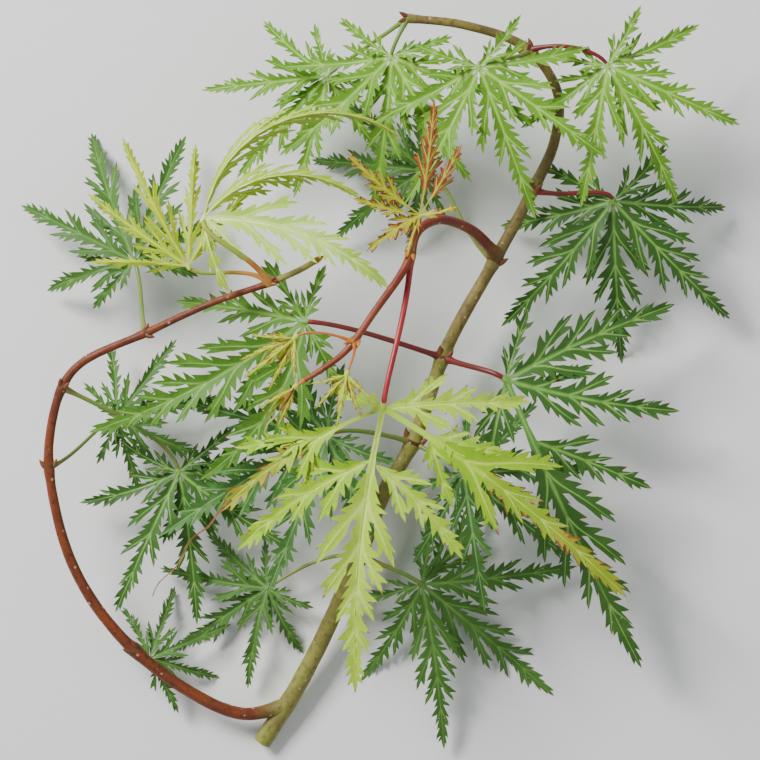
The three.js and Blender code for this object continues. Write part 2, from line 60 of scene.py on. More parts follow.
# Leaves, as in the source
FULL_REACH = 64
SMALLEST = 0.3
HUB_SIZE = 1.4
SMALL_HUB = 0.2
SMALL_STALK = 0.35
RIB_STEPS = 24
DROOP_POWER = 1.3
SIDE_DROOP = 0.8
FIRST_PAIR = 0.2
LAST_PAIR = 0.86
PAIR_SPACING = 11
MOST_PAIRS = 5
LOBULE_LENGTH = 0.38
LOBULE_WIDTH = 0.13
LOBULE_ANGLE = 39
LOBULE_HOOK = 11
LOBULE_TAPER = 0.6
PAIR_EASE = 0.55
MARGIN = 0.024
MARGIN_TAPER = 0.5
NECK = 0.014
FOOT = 0.2
FOLD = 0.16
SAG = 0.011
FAN_SHARES = (1, 0.9, 0.7, 0.42)
FAN_BEND = 4
LEAN = 6
UNEVEN = {"turn": 4, "reach": 0.06, "bend": 9, "length": 0.14, "angle": 5}

# Limbs and stalks, carried finer. Each hump of their relief has a place, a breadth and a height.
NEARBY = 0.02  # of a line, each way, over which its direction is taken
BARK_STEP = 0.9  # between the rings of the bark
BARK_SIDES = 22
LIMB_PARTS = 40  # of a limb's curve between two points of its route
RIDGES = (0.06, 0.022, 5, 1.6, 0.22)  # coarse and fine height, how much finer, and scale around and along
SCARS = ((0.55, 0.3, 0.07), (-0.35, 0.3, 0.07), (0.1, 0.2, -0.05))
SCAR_HALF = 0.4  # each way from a node, where the bark is dark
COLLAR = [(0, 3.2, 0.4)]  # where a side limb starts
STALK_STEP = 1.0
STALK_SIDES = 10
STALK_PARTS = 48
STALK_FOOT = [(0, 2.4, 0.75)]
STALK_HEAD = [(1.6, 0.8, 0.1), (0, 0.7, -0.45)]  # measured back from the leaf
GROOVE = [(math.pi / 2, 0.45, -0.08)]  # round the stalk, in radians

# Buds and scales
BUD_STEPS = 8
BUD_SUNK = 0.25  # of a bud's length, how far it starts inside the limb
BUD_THICK = 0.3  # of its length
BUD_SWELL = (0.36, 0.62, 0.985)  # shares of half a turn: at the foot, from foot to point, and the most
BUD_SIZE = 0.8  # beside the limb's radius with a millimetre more
BUD_SPREADS = ((0.5, 0.7), (0.9, 0.3))  # sideways and upwards, at every other node
BUD_FOOT = (0.9, 0.5)  # radii out of the limb, and millimetres along it
BUD_WAY = (0.55, 0.85)  # outwards and along
END_BUD = (0.6, 2.4)  # how far back it starts, and its length
SCALES = ((0.6, 0.6, 1.8), (2.3, 0.35, 1.5), (4.4, 0.1, 1.2))  # angle, how far back, and length
SCALE_OUT = 0.75
SCALE_SPREAD = 0.6
SCALE_FLATNESS = 0.6

# Teeth. The points of one are shares of its span and of its height.
TOOTH_PITCH = 2.9  # between the teeth of a big leaf
TOOTH_HEIGHT = 0.44  # of a tooth, as a share of its pitch
TOOTH = ((-0.06, -0.12), (0.36, 0.3), (0.74, 0.72), (1.18, 1.02), (1.02, 0.34))
LAST_TOOTH = (0.45, 0.12)  # the last point before the end
TOOTH_GROWTH = (0.35, 1.8, 1.1)  # at the foot of an edge, the gain along it, and the most
TOOTH_FADE = (1.15, 0.4)  # at the foot, and the loss along the edge
UNEVEN_TEETH = (0.28, 0.5)  # in place and in height
INNER_TEETH = (1.15, 0.8, 0.42)  # pitch and height beside the outer ones, and where they begin
END_TEETH = 0.85  # beside those of a lobule
TIP_SHARE = 0.62  # of a tooth, from its point, that a coloured tip takes
TIP_GAIN = 0.5  # by which coloured tips are commoner at a lobe's end
TIP_PLACES = (0.35, 1.2, 1.6)  # how far out a lobule's point counts beyond its axil, a lobe's end, its point
EDGES = {"all": (0.34, -0.12), "warm": (0.15, 0.02)}  # share of the way to the vein, and the least noise
EDGE_PATCHES = 0.55  # of that noise to a millimetre
EDGE_SHIFT = 0.37  # of it to a degree of the lobe's turn
SMALLEST_FACE = 0.002  # square millimetres
NEAR = 1e-4  # millimetres, nearer than which two points of a pattern are one

# The curves of a lobule: shares of its length, degrees from its angle and shares of its breadth
LOBULE_BREADTH = 0.62  # beside the root of its length
AXIL = 0.75
HEEL = (0.46, 0.24)
SHOULDER = (0.55, 6.5)
BROW = (0.8, -0.6)
HOLLOW = (0.55, 0.15, 30)
WAIST = (0.42, -1, 0.4)
BEND = (0.74, -4.2, 0.16)
VEIN_ROOT = 0.9
VEIN_RISE = (0.4, 0.28)
VEIN_MIDDLE = (0.45, 1)
VEIN_END = (0.92, 0.6)

# The rest of a lobe
THIN_MARGIN = 0.9  # beside the source's
THIN_NECK = 0.7
NECK_END = (1.5, 0.18, 0.06)  # half feet and lengths before the first lobule, and the least share of the lobe
NECK_SHAPE = (0.7, 0.95, 0.8)  # place and breadth of its middle, and its breadth where it ends
END_BREADTH = 0.52  # beside a lobule's
END_LEAST = 0.9  # beside the margin
END_SHAPE = ((0.3, 1), (0.68, 0.62))
THREAD_HALF = 0.16  # half the width of the blade where a dry thread starts
THREAD_ENDS = (0.34, 0.1)  # half its width, at both ends
THREAD_WAVE = (0.6, 0.55, 4)  # how far it sways, how fast, and the length of its start
NARROW_LENGTH = 0.5  # of the lobules on the narrow end of a lobe
RIPE_BEYOND = 0.22  # of a lobe, between the start of its warm colour and that of its ripest
MIDRIB_HALF = 0.27  # half the width of a big leaf's midrib
MIDRIB_END = 0.02  # added to its half width all along
MIDRIB_REACH = (0.1, 0.98, 0.92)  # its start, its share of the lobe, and that of the blade beside it
VEIN_HALF = 0.15
VEIN_POWER = 0.6  # of a leaf's size, for the width of its veins
VEIN_STEP = 1.6  # between the points of a strip
VEIN_TAPER = 0.78
STRIP_TAPER = 0.85
BESIDE_MIDRIB = 2.3  # the lighter blade beside a midrib, with painted highlight, in widths of the midrib
BESIDE_VEIN = 2.9
RIM_THICK = 0.16  # of the blade at its rim
VEIN_THICK = 0.32
THICK_POWER = 0.4  # of a leaf's size, for their thickness
LOBULE_FOLD = 0.28  # the halves of a lobule rise from its vein
LOBULE_DROOP = 0.007  # for each square millimetre away from the midrib
UNEVEN_RISE = 0.13  # of a lobule, for each millimetre away from the midrib
AXIL_LAG = 3  # degrees between a lobule's vein and the line along which it rises
RIPPLE = (0.012, 7, 3.0)  # height beside the lobe's length, how fast it goes, and how much its start varies
RISE_OVER = (0.05, 0.1)  # shares of the lobe over which the rise and the ripple reach their height
SIZES = (0.14, 1.1)  # the least and the most of a leaf, beside a full one
FINE_SEEDS = (1000, 17)  # the first, and the step from leaf to leaf

# Young leaves, and the knob where a leaf's lobes meet
SHUT_ANGLE = 0.25  # of a lobule's grown angle, on a leaf that is still shut
SHUT_LENGTH = 0.75
SHUT_TEETH = 0.4
YOUNG = 0.5  # a leaf that is less open than this is young
YOUNG_STALK = 0.75
YOUNG_KNOB = 1.5  # beside the source's hub
GROWN_KNOB = 0.85
KNOB_BACK = 0.55
KNOB_LENGTH = 2.1

# The flat layout of a piece's faces
SHELF_WIDTH = 150.0
ROW_LENGTH = 40
GAP = 0.4

# The stage
FLOOR_HALF = 1.5
FLOOR_COLOURS = ([0.84, 0.84, 0.82, 1], [0.88, 0.88, 0.86, 1])
VIEW_ANGLE = 2 * math.atan(0.22 / 700 * 380)
CAMERA_HEIGHT = 0.74

# Late is the share of a limb beyond which its bark has another paint, that paint, and how far from a node it
# starts. Rings are the shares of the cut end inside which each paint ends.
LIMBS = {
    "main_stem": {
        "route": [(-27.4, -84, 2.04), (-18, -69, 4.2), (-5.8, -43, 7.5), (1.2, -25.3, 9.5),
                  (7.4, -14.5, 10.5), (15.4, 7.6, 12.5), (26.8, 28.4, 14.5), (34.2, 42.2, 16.5),
                  (39.5, 54, 19), (40, 65, 22), (33, 74.5, 25), (19, 79.5, 27), (6, 81, 27.5)],
        "thick": (4.2, 1.8), "nodes": (0.24, 0.38, 0.48, 0.6, 0.69, 0.86, 1), "replaces": ["main_stem"],
        "slot": "olive_bark", "late": (0.48, "tan_bark", 2.6), "buds": "bud", "collar": [],
        "rings": [(0.86, "cut_bark"), (0.78, "cut_green"), (0.2, "cut_wood"), (0, "cut_pith")],
    },
    "left_bough": {
        "route": [(-22.3, -75.8, 3.2), (-32, -77, 5.5), (-44, -71.5, 8.5), (-58.4, -59.6, 12.5),
                  (-68.7, -44.4, 17), (-73.5, -28.3, 21), (-74.4, -13.5, 24), (-69, 1.8, 27.5),
                  (-51.3, 10.9, 30.5), (-36.7, 17.4, 32.5), (-24.4, 21.6, 33.5), (-17.8, 24.4, 34.5),
                  (-13.8, 26.7, 34.5)],
        "thick": (3, 1.3), "nodes": (0.23, 0.51, 0.62, 0.755, 0.93),
        "replaces": ["left_bough_lower", "left_bough_upper"],
        "slot": "red_bark", "late": (0.94, "olive_bark", 0), "buds": "bud", "collar": COLLAR,
    },
    "front_shoot": {
        "route": [(26.8, 28.4, 14.5), (20.5, 33.8, 24), (13, 35.6, 33), (8.2, 32.5, 38.5), (5.9, 25.5, 41),
                  (-1.1, 15.1, 43.5), (-7.7, 6.1, 45), (-13.6, 1.7, 45.5), (-16.4, 0, 45.5)],
        "thick": (2.6, 1.2), "nodes": (0.5, 0.82), "replaces": ["front_shoot"],
        "slot": "russet_bark", "late": (0.93, "amber_bark", 0), "buds": "bud_scale", "collar": COLLAR,
    },
}

# The dried, curled tip of the shoot
DRY_TIP = [(-18.6, -1.6, 45.2), (-20.8, -4.6, 45), (-22.4, -7.6, 44.4), (-24.4, -9.4, 43.8),
           (-25.3, -11.4, 43.2)]
DRY_TIP_RADII = (0.3, 0.14)
DRY_TIP_CREASE = 0.3
DRY_TIP_SIDES = 8

# What a lobe has unless its entry says otherwise
PLAIN_LOBE = {
    "sides": (),  # the long side lobes on it
    "at": 0.0,  # for a side lobe, where on its lobe it starts
    "bare": 0.0,  # the share of it that is a dry thread
    "tint": "",  # picks its blade paint; the light tint is a lit copy with painted highlight
    "warm": 1.0,  # the share of it from which the lobules have the warm paint
    "hang": 0,  # how far its halves hang down from the rib, in degrees
    "slim": 0.85,  # the breadth of its lobules beside the broadest
    "narrow": 1.0,  # the share of it from which the lobules stay short
    "pairs": 0,  # the number of pairs of lobules, if it isn't the usual one
    "skip": 0,  # the number of pairs left out at its foot
    "lean": 0,  # how much steeper it starts, in degrees
    "droop": 1,  # beside the leaf's droop
}

# The same for a leaf: how far its plane tilts, the paints of its stalk and of its edges, which lobules have a
# coloured edge, and how far a young leaf has spread its lobules.
PLAIN_LEAF = {"tilt": 0, "stalk": "green_stalk", "edge": "", "edged": "", "opened": 1.0}


def lobe(turn, reach, bend, **more):
    return {**PLAIN_LOBE, "turn": turn, "reach": reach, "bend": bend, **more}


def fan(reach, count, spread, seed, **more):
    """A regular fan of lobes, and what each of them has."""
    return reach, count, spread, seed, more


def leaf(limb, at, centre, heading, slot, arch, climb, droop, lobes, **more):
    """A leaf of the source's plan."""
    return {**PLAIN_LEAF, "limb": limb, "at": at, "centre": Vector(centre), "heading": heading, "slot": slot,
            "arch": arch, "climb": climb, "droop": droop, "lobes": lobes, **more}


BUD_LEAF = {"stalk": "orange_stalk", "edge": "orange_edge", "edged": "all", "opened": 0.42}

LEAVES = {
    "front_leaf": leaf("front_shoot", 0.5, (0.7, -6.1, 42), -95, "pale_green", 2, -2, 16, [
        lobe(-103, 65, 15, tint="light", slim=1.15, sides=[
            lobe(-158, 37, 24, at=0.18, tint="fresh", slim=1.1), lobe(-35, 30, -24, at=0.19, slim=1.1)]),
        lobe(-31, 70, -14, tint="fresh", warm=0.5, narrow=0.46, slim=1.0, sides=[
            lobe(-9, 20, -12, at=0.17, tint="light"), lobe(-76, 17, 10, at=0.17, slim=1.1)]),
        lobe(6, 33, -8, tint="light", slim=0.8),
        lobe(-160, 66, 38, bare=0.34, tint="fresh", warm=0.5, narrow=0.5, slim=0.9, sides=[
            lobe(184, 19, 6, at=0.24), lobe(-106, 13, 14, at=0.25)]),
        lobe(158, 11, 10),
    ], stalk="red_stalk", edge="orange_edge", edged="warm"),
    "gold_leaf": leaf("front_shoot", 0.5, (8.7, 35.9, 48), 95, "gold", 3, 26, 20, [
        lobe(80, 27, 6, tint="copper", hang=22, slim=0.68, pairs=5, skip=1),
        lobe(148, 22, -14, slim=0.75, pairs=5, skip=1),
        lobe(172, 16, -10, slim=0.75, pairs=4, skip=1),
        lobe(-152, 15, 14, slim=0.75, pairs=3),
        lobe(-112, 10, 10, hang=30, slim=0.75),
        lobe(2, 9, 20, hang=30, slim=0.75),
        lobe(55, 19, 8, tint="copper", hang=22, slim=0.68, pairs=4, skip=1),
    ], tilt=6, stalk="russet_stalk", edge="red_edge", edged="all", opened=0.85),
    "bud_leaf_left": leaf("front_shoot", 0.82, (-18.6, 9.2, 45.5), -135, "yellow_green", 1, 16, 46,
        fan(14.5, 5, 21, 11, hang=30, slim=1.7, pairs=4), **BUD_LEAF),
    "bud_leaf_right": leaf("front_shoot", 0.82, (-7.2, 1.2, 49), -102, "yellow_green", 1, 10, 34,
        fan(12, 5, 27, 12, hang=30, slim=1.7, pairs=4), **BUD_LEAF),
    "shoot_tip_leaf": leaf("front_shoot", 1, (-18.6, -1.6, 45), -132, "gold", 0, -8, 18,
        fan(11, 3, 16, 13, hang=34, slim=1.7, pairs=4), **BUD_LEAF),
    "pale_leaf": leaf("left_bough", 0.93, (-38.8, 35.7, 38.5), 72, "cream_green", 5, 14, 38, [
        lobe(2, 46, -46, tint="light", slim=0.5),
        lobe(80, 58, -118, hang=68, slim=0.6),
        lobe(52, 40, -92, hang=54, slim=0.6),
        lobe(-38, 13, -20, tint="light", slim=0.6),
        lobe(-84, 18, 26, hang=30, slim=0.6),
    ], stalk="lime_stalk", opened=0.8),
    "yellow_leaf": leaf("left_bough", 0.93, (-42.5, 25.2, 35), 118, "yellow_green", -2.2, 8, 52,
        fan(35, 5, 29, 15, hang=44, slim=0.7), stalk="lime_stalk", opened=0.8),
    "top_leaf": leaf("main_stem", 1, (2.5, 72.5, 27), -96, "spring_green", 2, 2, 22, fan(36, 7, 37, 21)),
    "top_left_leaf": leaf("main_stem", 1, (-12, 69, 18), -138, "spring_green", -2, 2, 24, fan(31, 7, 38, 22)),
    "top_middle_leaf": leaf("main_stem", 0.86, (22, 69.5, 33), -72, "spring_green", 1, 4, 20,
        fan(38, 7, 40, 23)),
    "top_right_leaf": leaf("main_stem", 0.86, (51, 70.5, 27), -62, "spring_green", 2, 0, 26,
        fan(36, 7, 40, 24), stalk="dark_red_stalk"),
    "upper_right_leaf": leaf("main_stem", 0.69, (52.9, 40.7, 17), -84, "mid_green", 3, -5, 36,
        fan(44, 7, 40, 25), stalk="dark_red_stalk"),
    "upper_middle_leaf": leaf("main_stem", 0.6, (10, 48, 11), 176, "deep_green", 2, -6, 39,
        fan(30, 7, 39, 26)),
    "right_leaf": leaf("main_stem", 0.48, (28.4, 0, 22), -40, "mid_green", 2, 0, 18, [
        lobe(-67, 74, 5, sides=[lobe(-20, 30, -4, at=0.2)]),
        lobe(-16, 41, 12),
        lobe(29, 43, -10),
        lobe(76, 17, -8),
        lobe(-104, 33, 10),
    ], stalk="dark_red_stalk"),
    "left_leaf": leaf("main_stem", 0.48, (-17, 13.1, 28.5), 178, "mid_green", 3, 0, 20, [
        lobe(*values, tint="fresh") for values in (
            (-144, 56, -18), (167, 30, 8), (-100, 45, -48), (118, 17, 10), (74, 14, -10), (-58, 19, -12))
    ], stalk="dark_red_stalk"),
    "under_left_leaf": leaf("main_stem", 0.38, (-12, -12.5, 20), -152, "blue_green", 1.5, 4, 10,
        fan(43, 7, 40, 31)),
    "under_right_leaf": leaf("main_stem", 0.38, (19, -21, 15), -40, "blue_green", 1, 2, 12,
        fan(34, 7, 39, 32)),
    "lower_right_leaf": leaf("main_stem", 0.24, (9.6, -47, 7.7), -39, "deep_green", 1, -4, 22,
        fan(42, 7, 40, 33)),
    "lower_left_leaf": leaf("left_bough", 0.62, (-46, -21, 13), -80, "mid_green", 1, -1, 13,
        fan(38, 7, 39, 34)),
    "bottom_left_leaf": leaf("main_stem", 0.24, (-26, -48, 6), -148, "deep_green", 1.5, -4, 20,
        fan(28, 7, 38, 35)),
    "far_left_leaf": leaf("left_bough", 0.51, (-60.5, -9, 11), 12, "deep_green", 0, 0, 16,
        fan(27, 7, 39, 36)),
    "upper_left_leaf": leaf("left_bough", 0.755, (-56, 27, 15), 112, "deep_green", -1, -4, 41,
        fan(37, 7, 38, 37)),
    "corner_left_leaf": leaf("left_bough", 0.23, (-53, -64, 7.5), 26, "deep_green", 0, -8, 27,
        fan(21, 5, 42, 39)),
}

# Kinds of surface: the cloud's scale, detail and ends, the grain's scale and detail, the ends and darkness of
# the specks it gives, the strength and depth of its relief, and the shine.
SURFACES = {
    "leaf": {"cloud": (90, 3, 0.35, 0.65), "grain": (2600, 2), "specks": (0.52, 0.85, 0.78),
             "bump": (0.18, 0.00008), "specular": 0.24},
    "vein": {"cloud": (420, 3, 0.35, 0.65), "grain": (3000, 2), "bump": (0.25, 0.00008), "specular": 0.28},
    "stalk": {"cloud": (160, 3, 0.38, 0.66), "grain": (1800, 3), "specks": (0.55, 0.85, 0.7),
              "bump": (0.22, 0.0001), "specular": 0.42},
    "bark": {"cloud": (120, 5, 0.36, 0.64), "grain": (900, 5), "specks": (0.5, 0.78, 0.55),
             "bump": (0.5, 0.00025), "specular": 0.32},
    "wood": {"cloud": (1500, 4, 0.35, 0.65), "grain": (1500, 4), "bump": (0.5, 0.00015), "specular": 0.3},
}
VEINLETS = {"scale": 950, "ramp": (-0.25, 0.1), "light": 1.12, "bump": (0.3, 0.00012)}
PORES = {"scale": 420, "ramp": (0.1, 0.17), "colour": [0.42, 0.3, 0.17, 1], "bump": (0.25, 0.00012)}
BORDER = 4  # breadth of the uneven border where two paints meet, in millimetres
BORDER_SCALE = 500
SHARP_ANGLE = 48

# Paints: main colour, the colour it varies to, roughness and kind of surface.
# Inner blades are the lighter strip beside the veins: partly the leaf's paler green, partly painted
# highlight.
PAINTS = {
    "pale_green_blade": ("9cc428", "b4d440", 0.55, "leaf"),
    "pale_green_inner_blade": ("b8dc48", "c6e25c", 0.55, "leaf"),
    # The light tint is a lit copy of the blade paint: painted highlight on lobes that catch the light.
    "pale_green_light_blade": ("a4ce26", "c0e044", 0.55, "leaf"),
    "pale_green_light_inner_blade": ("cce85e", "d8ee76", 0.55, "leaf"),
    "pale_green_fresh_blade": ("8cbc12", "a2ca1e", 0.55, "leaf"),
    "pale_green_fresh_inner_blade": ("aed828", "bae038", 0.55, "leaf"),
    "pale_green_warm_blade": ("8cb41c", "a4bc28", 0.56, "leaf"),
    "pale_green_ripe_blade": ("90ac22", "a6a82a", 0.56, "leaf"),
    "pale_green_vein": ("d0e670", "c4dc5a", 0.48, "vein"),
    "pale_green_rib": ("c0de54", "b4d444", 0.48, "vein"),
    "cream_green_blade": ("98bc18", "b0ca2c", 0.56, "leaf"),
    "cream_green_inner_blade": ("b4d034", "c4d846", 0.56, "leaf"),
    # The light tint is a lit copy of the blade paint: painted highlight on the lobe that catches the light.
    "cream_green_light_blade": ("aedc44", "ccf074", 0.56, "leaf"),
    "cream_green_light_inner_blade": ("d6f68c", "e2faa2", 0.56, "leaf"),
    "cream_green_vein": ("e2f298", "d6e87c", 0.5, "vein"),
    "gold_blade": ("a0aa18", "b6a01c", 0.55, "leaf"),
    "gold_inner_blade": ("b2c61e", "c2c626", 0.55, "leaf"),
    "gold_copper_blade": ("984c2a", "a86832", 0.56, "leaf"),
    "gold_copper_inner_blade": ("a8a234", "b48c38", 0.56, "leaf"),
    "gold_vein": ("bece40", "c8c83a", 0.48, "vein"),
    "yellow_green_blade": ("8eac0a", "a8be12", 0.55, "leaf"),
    "yellow_green_inner_blade": ("b6ce28", "c4d238", 0.55, "leaf"),
    "yellow_green_vein": ("ccd850", "c4cc40", 0.5, "vein"),
    "spring_green_blade": ("5c8c1c", "76aa2e", 0.54, "leaf"),
    "spring_green_inner_blade": ("86b83a", "96c24a", 0.54, "leaf"),
    "spring_green_vein": ("a8cc6c", "98c05c", 0.48, "vein"),
    # The plain mid green blade and its inner strip are darkened with painted shade, for leaves in shade.
    "mid_green_blade": ("365e22", "466e2a", 0.54, "leaf"),
    "mid_green_inner_blade": ("52803a", "5f9042", 0.54, "leaf"),
    "mid_green_fresh_blade": ("48741e", "5a882a", 0.54, "leaf"),
    "mid_green_fresh_inner_blade": ("649434", "709e3e", 0.54, "leaf"),
    "mid_green_vein": ("8cb65a", "7eaa4c", 0.48, "vein"),
    "mid_green_rib": ("84b052", "78a648", 0.48, "vein"),
    # Deep and blue green are darker, duller greens: partly the lower leaves' own colour, partly painted
    # shade.
    "deep_green_blade": ("416826", "4e7830", 0.54, "leaf"),
    "deep_green_inner_blade": ("527c34", "5c883c", 0.54, "leaf"),
    "deep_green_vein": ("6f9848", "628c3e", 0.48, "vein"),
    "blue_green_blade": ("426e2e", "4e7c38", 0.54, "leaf"),
    "blue_green_inner_blade": ("5c8c42", "68964c", 0.54, "leaf"),
    "blue_green_vein": ("88b26a", "78a45c", 0.48, "vein"),
    "pink_tip": ("b08a56", "a86e54", 0.5, "vein"),
    "brown_tip": ("8a5c34", "74462a", 0.55, "vein"),
    "pale_tip": ("b49858", "a4803e", 0.55, "vein"),
    "red_edge": ("8a4026", "702f20", 0.5, "vein"),
    "orange_edge": ("a06430", "7e4628", 0.5, "vein"),
    "dry_thread": ("78442a", "a8784c", 0.6, "vein"),
    "dry_curl": ("7e4828", "985e32", 0.65, "vein"),
    "dry_tip": ("cdb47c", "b08a50", 0.65, "vein"),
    "red_stalk": ("a01c28", "b0332f", 0.32, "stalk"),
    "dark_red_stalk": ("82242a", "743028", 0.36, "stalk"),
    "orange_stalk": ("bf6428", "c98c3c", 0.4, "stalk"),
    "russet_stalk": ("94482a", "a8702e", 0.4, "stalk"),
    "lime_stalk": ("90a83a", "a29c3a", 0.4, "stalk"),
    "green_stalk": ("6c923a", "8a803c", 0.4, "stalk"),
    "olive_bark": ("8a8a3c", "756a34", 0.55, "bark"),
    "tan_bark": ("86763a", "6a5830", 0.55, "bark"),
    "red_bark": ("84401f", "68341f", 0.5, "bark"),
    "russet_bark": ("78301e", "8e4224", 0.46, "bark"),
    "amber_bark": ("864024", "a0602a", 0.46, "bark"),
    "node_scar": ("523422", "6a4728", 0.7, "bark"),
    "bud": ("6c3a24", "86502c", 0.45, "stalk"),
    "bud_scale": ("c29a34", "a86428", 0.5, "vein"),
    "cut_bark": ("5a4a2c", "6e5c36", 0.75, "wood"),
    "cut_green": ("a0b25e", "8ca050", 0.6, "wood"),
    "cut_wood": ("d6c894", "c6b57c", 0.7, "wood"),
    "cut_pith": ("b0905c", "9c7c50", 0.85, "wood"),
}

# Paints that start in another paint's colour: the place, that paint and the distances where it starts to
# give way and is gone.
BLENDS = {
    "red_bark": ((-22.3, -75.8, 3.2), "olive_bark", 2, 7.5),
    "russet_bark": ((26.8, 28.4, 14.5), "tan_bark", 1.5, 6),
    "lime_stalk": ((-24.4, 21.6, 33.5), "orange_stalk", 6, 11),
}

# For each leaf colour, the paint of its tooth tips and the share of them that have it.
TIPS = {
    "pale_green": ("pink_tip", 0.2), "cream_green": ("cream_green_vein", 0.3), "gold": ("red_edge", 1.0),
    "yellow_green": ("pale_tip", 0.2), "spring_green": ("pale_tip", 0.15), "mid_green": ("brown_tip", 0.12),
    "deep_green": ("brown_tip", 0.1), "blue_green": ("blue_green_vein", 0.3),
}

ROLE_ORDER = ("thread", "rib", "vein", "tip", "edge", "ripe", "warm", "inner", "blade")


# Small helpers

def clamp(value, low, high):
    return max(low, min(high, value))


def mix(a, b, share):
    return a + (b - a) * share


def humps(distance, shapes):
    """The sum of smooth humps, each with its place, breadth and height."""
    return sum(height * math.exp(-((distance - place) / breadth) ** 2) for place, breadth, height in shapes)


def direction(heading, climb):
    """The unit vector with a heading in the plan and a climb above it."""
    heading, climb = math.radians(heading), math.radians(climb)
    flat = math.cos(climb)
    return Vector((flat * math.cos(heading), flat * math.sin(heading), math.sin(climb)))


def polar(u, length, angle):
    angle = math.radians(angle)
    return Vector((u + length * math.cos(angle), length * math.sin(angle)))


def even(start, stop, step):
    """Distances from start to stop, about one step apart."""
    count = max(1, round((stop - start) / step))
    return [start + (stop - start) * i / count for i in range(count + 1)]


def dealer(seed):
    """Small variations, up to plus or minus spread, the same every time for one seed."""
    state = [seed]

    def deal(spread):
        state[0] = (state[0] * 1664525 + 1013904223) & 0xFFFFFFFF
        return (state[0] / 4294967296 * 2 - 1) * spread

    return deal


def spline(route, steps=8):
    """Points on a centripetal Catmull-Rom curve through the route."""
    points = [Vector(point) for point in route]
    padded = [points[0] * 2 - points[1], *points, points[-1] * 2 - points[-2]]
    curve = []
    for i in range(len(points) - 1):
        p0, p1, p2, p3 = padded[i:i + 4]
        d0, d1, d2 = (math.sqrt((b - a).length) for a, b in ((p0, p1), (p1, p2), (p2, p3)))
        t1 = ((p1 - p0) / d0 - (p2 - p0) / (d0 + d1) + (p2 - p1) / d1) * d1
        t2 = ((p2 - p1) / d1 - (p3 - p1) / (d1 + d2) + (p3 - p2) / d2) * d1
        for k in range(steps):
            t = k / steps
            most = p1 + t1 * t + ((p2 - p1) * 3 - t1 * 2 - t2) * t ** 2
            curve.append(most + ((p1 - p2) * 2 + t1 + t2) * t ** 3)
    curve.append(points[-1])
    return curve


def bezier(p0, p1, p2, p3, steps):
    """Points on a cubic curve from p0 to p3."""
    curve = []
    for k in range(steps + 1):
        t = k / steps
        s = 1 - t
        curve.append(p0 * s ** 3 + p1 * (3 * s * s * t) + p2 * (3 * s * t * t) + p3 * t ** 3)
    return curve


class Line:
    """A line of points that is walked by length."""

    def __init__(self, points):
        self.points = points
        self.marks = [0.0]
        for a, b in zip(points, points[1:]):
            self.marks.append(self.marks[-1] + (b - a).length)
        self.length = self.marks[-1]

    def at(self, distance):
        distance = clamp(distance, 0, self.length)
        low = min(bisect_right(self.marks, distance), len(self.marks) - 1) - 1
        rest = (distance - self.marks[low]) / max(self.marks[low + 1] - self.marks[low], 1e-9)
        return self.points[low].lerp(self.points[low + 1], rest)

    def along(self, distance):
        near = NEARBY * self.length
        return (self.at(distance + near) - self.at(distance - near)).normalized()

    def beside(self, distance, out):
        """A point of the flat pattern, some way out on the left of the line."""
        along = self.along(distance)
        return self.at(distance) + Vector((-along.y, along.x)) * out

    def ways(self, distance):
        """The place at a distance, and the ways along, across and over the line there."""
        along = self.along(distance)
        across = UP.cross(along).normalized()
        return self.at(distance), along, across, along.cross(across)


def straight(start, stop, parts=60):
    """A line along the flat pattern's middle."""
    return Line([Vector((mix(start, stop, k / parts), 0)) for k in range(parts + 1)])


class Limb:
    """A tapering limb with a swelling at each node."""

    def __init__(self, spec):
        self.spec = spec
        self.line = Line(spline(spec["route"], LIMB_PARTS))
        self.length = self.line.length
        self.nodes = spec["nodes"]

    def radius(self, share):
        swellings = [(node * self.length, SWELLING_LENGTH, SWELLING) for node in self.nodes]
        return mix(*self.spec["thick"], share) / 2 * (1 + humps(share * self.length, swellings))


# Pieces under construction

class Piece:
    """The points and faces of one piece, with a paint and a place on a flat layout for each face."""

    def __init__(self):
        self.points = []
        self.faces = []
        self.paints = []
        self.flats = []
        self.shelf = [0.0, 0.0, 0.0]

    def point(self, place):
        self.points.append((place - MIDDLE) * TO_METRES)
        return len(self.points) - 1

    def face(self, corners, paint, flats):
        self.faces.append(corners)
        self.paints.append(paint)
        self.flats.append(flats)

    def room(self, width, height):
        """A free place of that size on the flat layout."""
        x, y, tall = self.shelf
        if x + width > SHELF_WIDTH and x > 0:
            x, y, tall = 0.0, y + tall, 0.0
        self.shelf = [x + width, y, max(tall, height)]
        return Vector((x, y))

    def build(self, name, slot, replaced):
        mesh = bpy.data.meshes.new(name)
        mesh.from_pydata(self.points, [], self.faces)
        used = sorted(set(self.paints))
        for paint in used:
            mesh.materials.append(material(paint))
        order = {paint: i for i, paint in enumerate(used)}
        mesh.polygons.foreach_set("material_index", [order[paint] for paint in self.paints])
        mesh.polygons.foreach_set("use_smooth", [True] * len(self.faces))
        layer = mesh.uv_layers.new(name="OFBake")
        size = max(SHELF_WIDTH, self.shelf[1] + self.shelf[2])
        corners = [corner for flats in self.flats for corner in flats]
        layer.data.foreach_set("uv", [value / size for corner in corners for value in corner])
        mesh.validate()
        mesh.set_sharp_from_angle(angle=math.radians(SHARP_ANGLE))
        piece = bpy.data.objects.new(name, mesh)
        bpy.context.scene.collection.objects.link(piece)
        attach(piece, "root")
        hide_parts(*replaced)


# Materials

def linear(code):
    """A colour written as six hexadecimal digits, as Blender's linear values."""
    values = [int(code[i:i + 2], 16) / 255 for i in (0, 2, 4)]
    return [v / 12.92 if v <= 0.04045 else ((v + 0.055) / 1.055) ** 2.4 for v in values] + [1]


def shade(colour, factor):
    return [colour[0] * factor, colour[1] * factor, colour[2] * factor, 1]


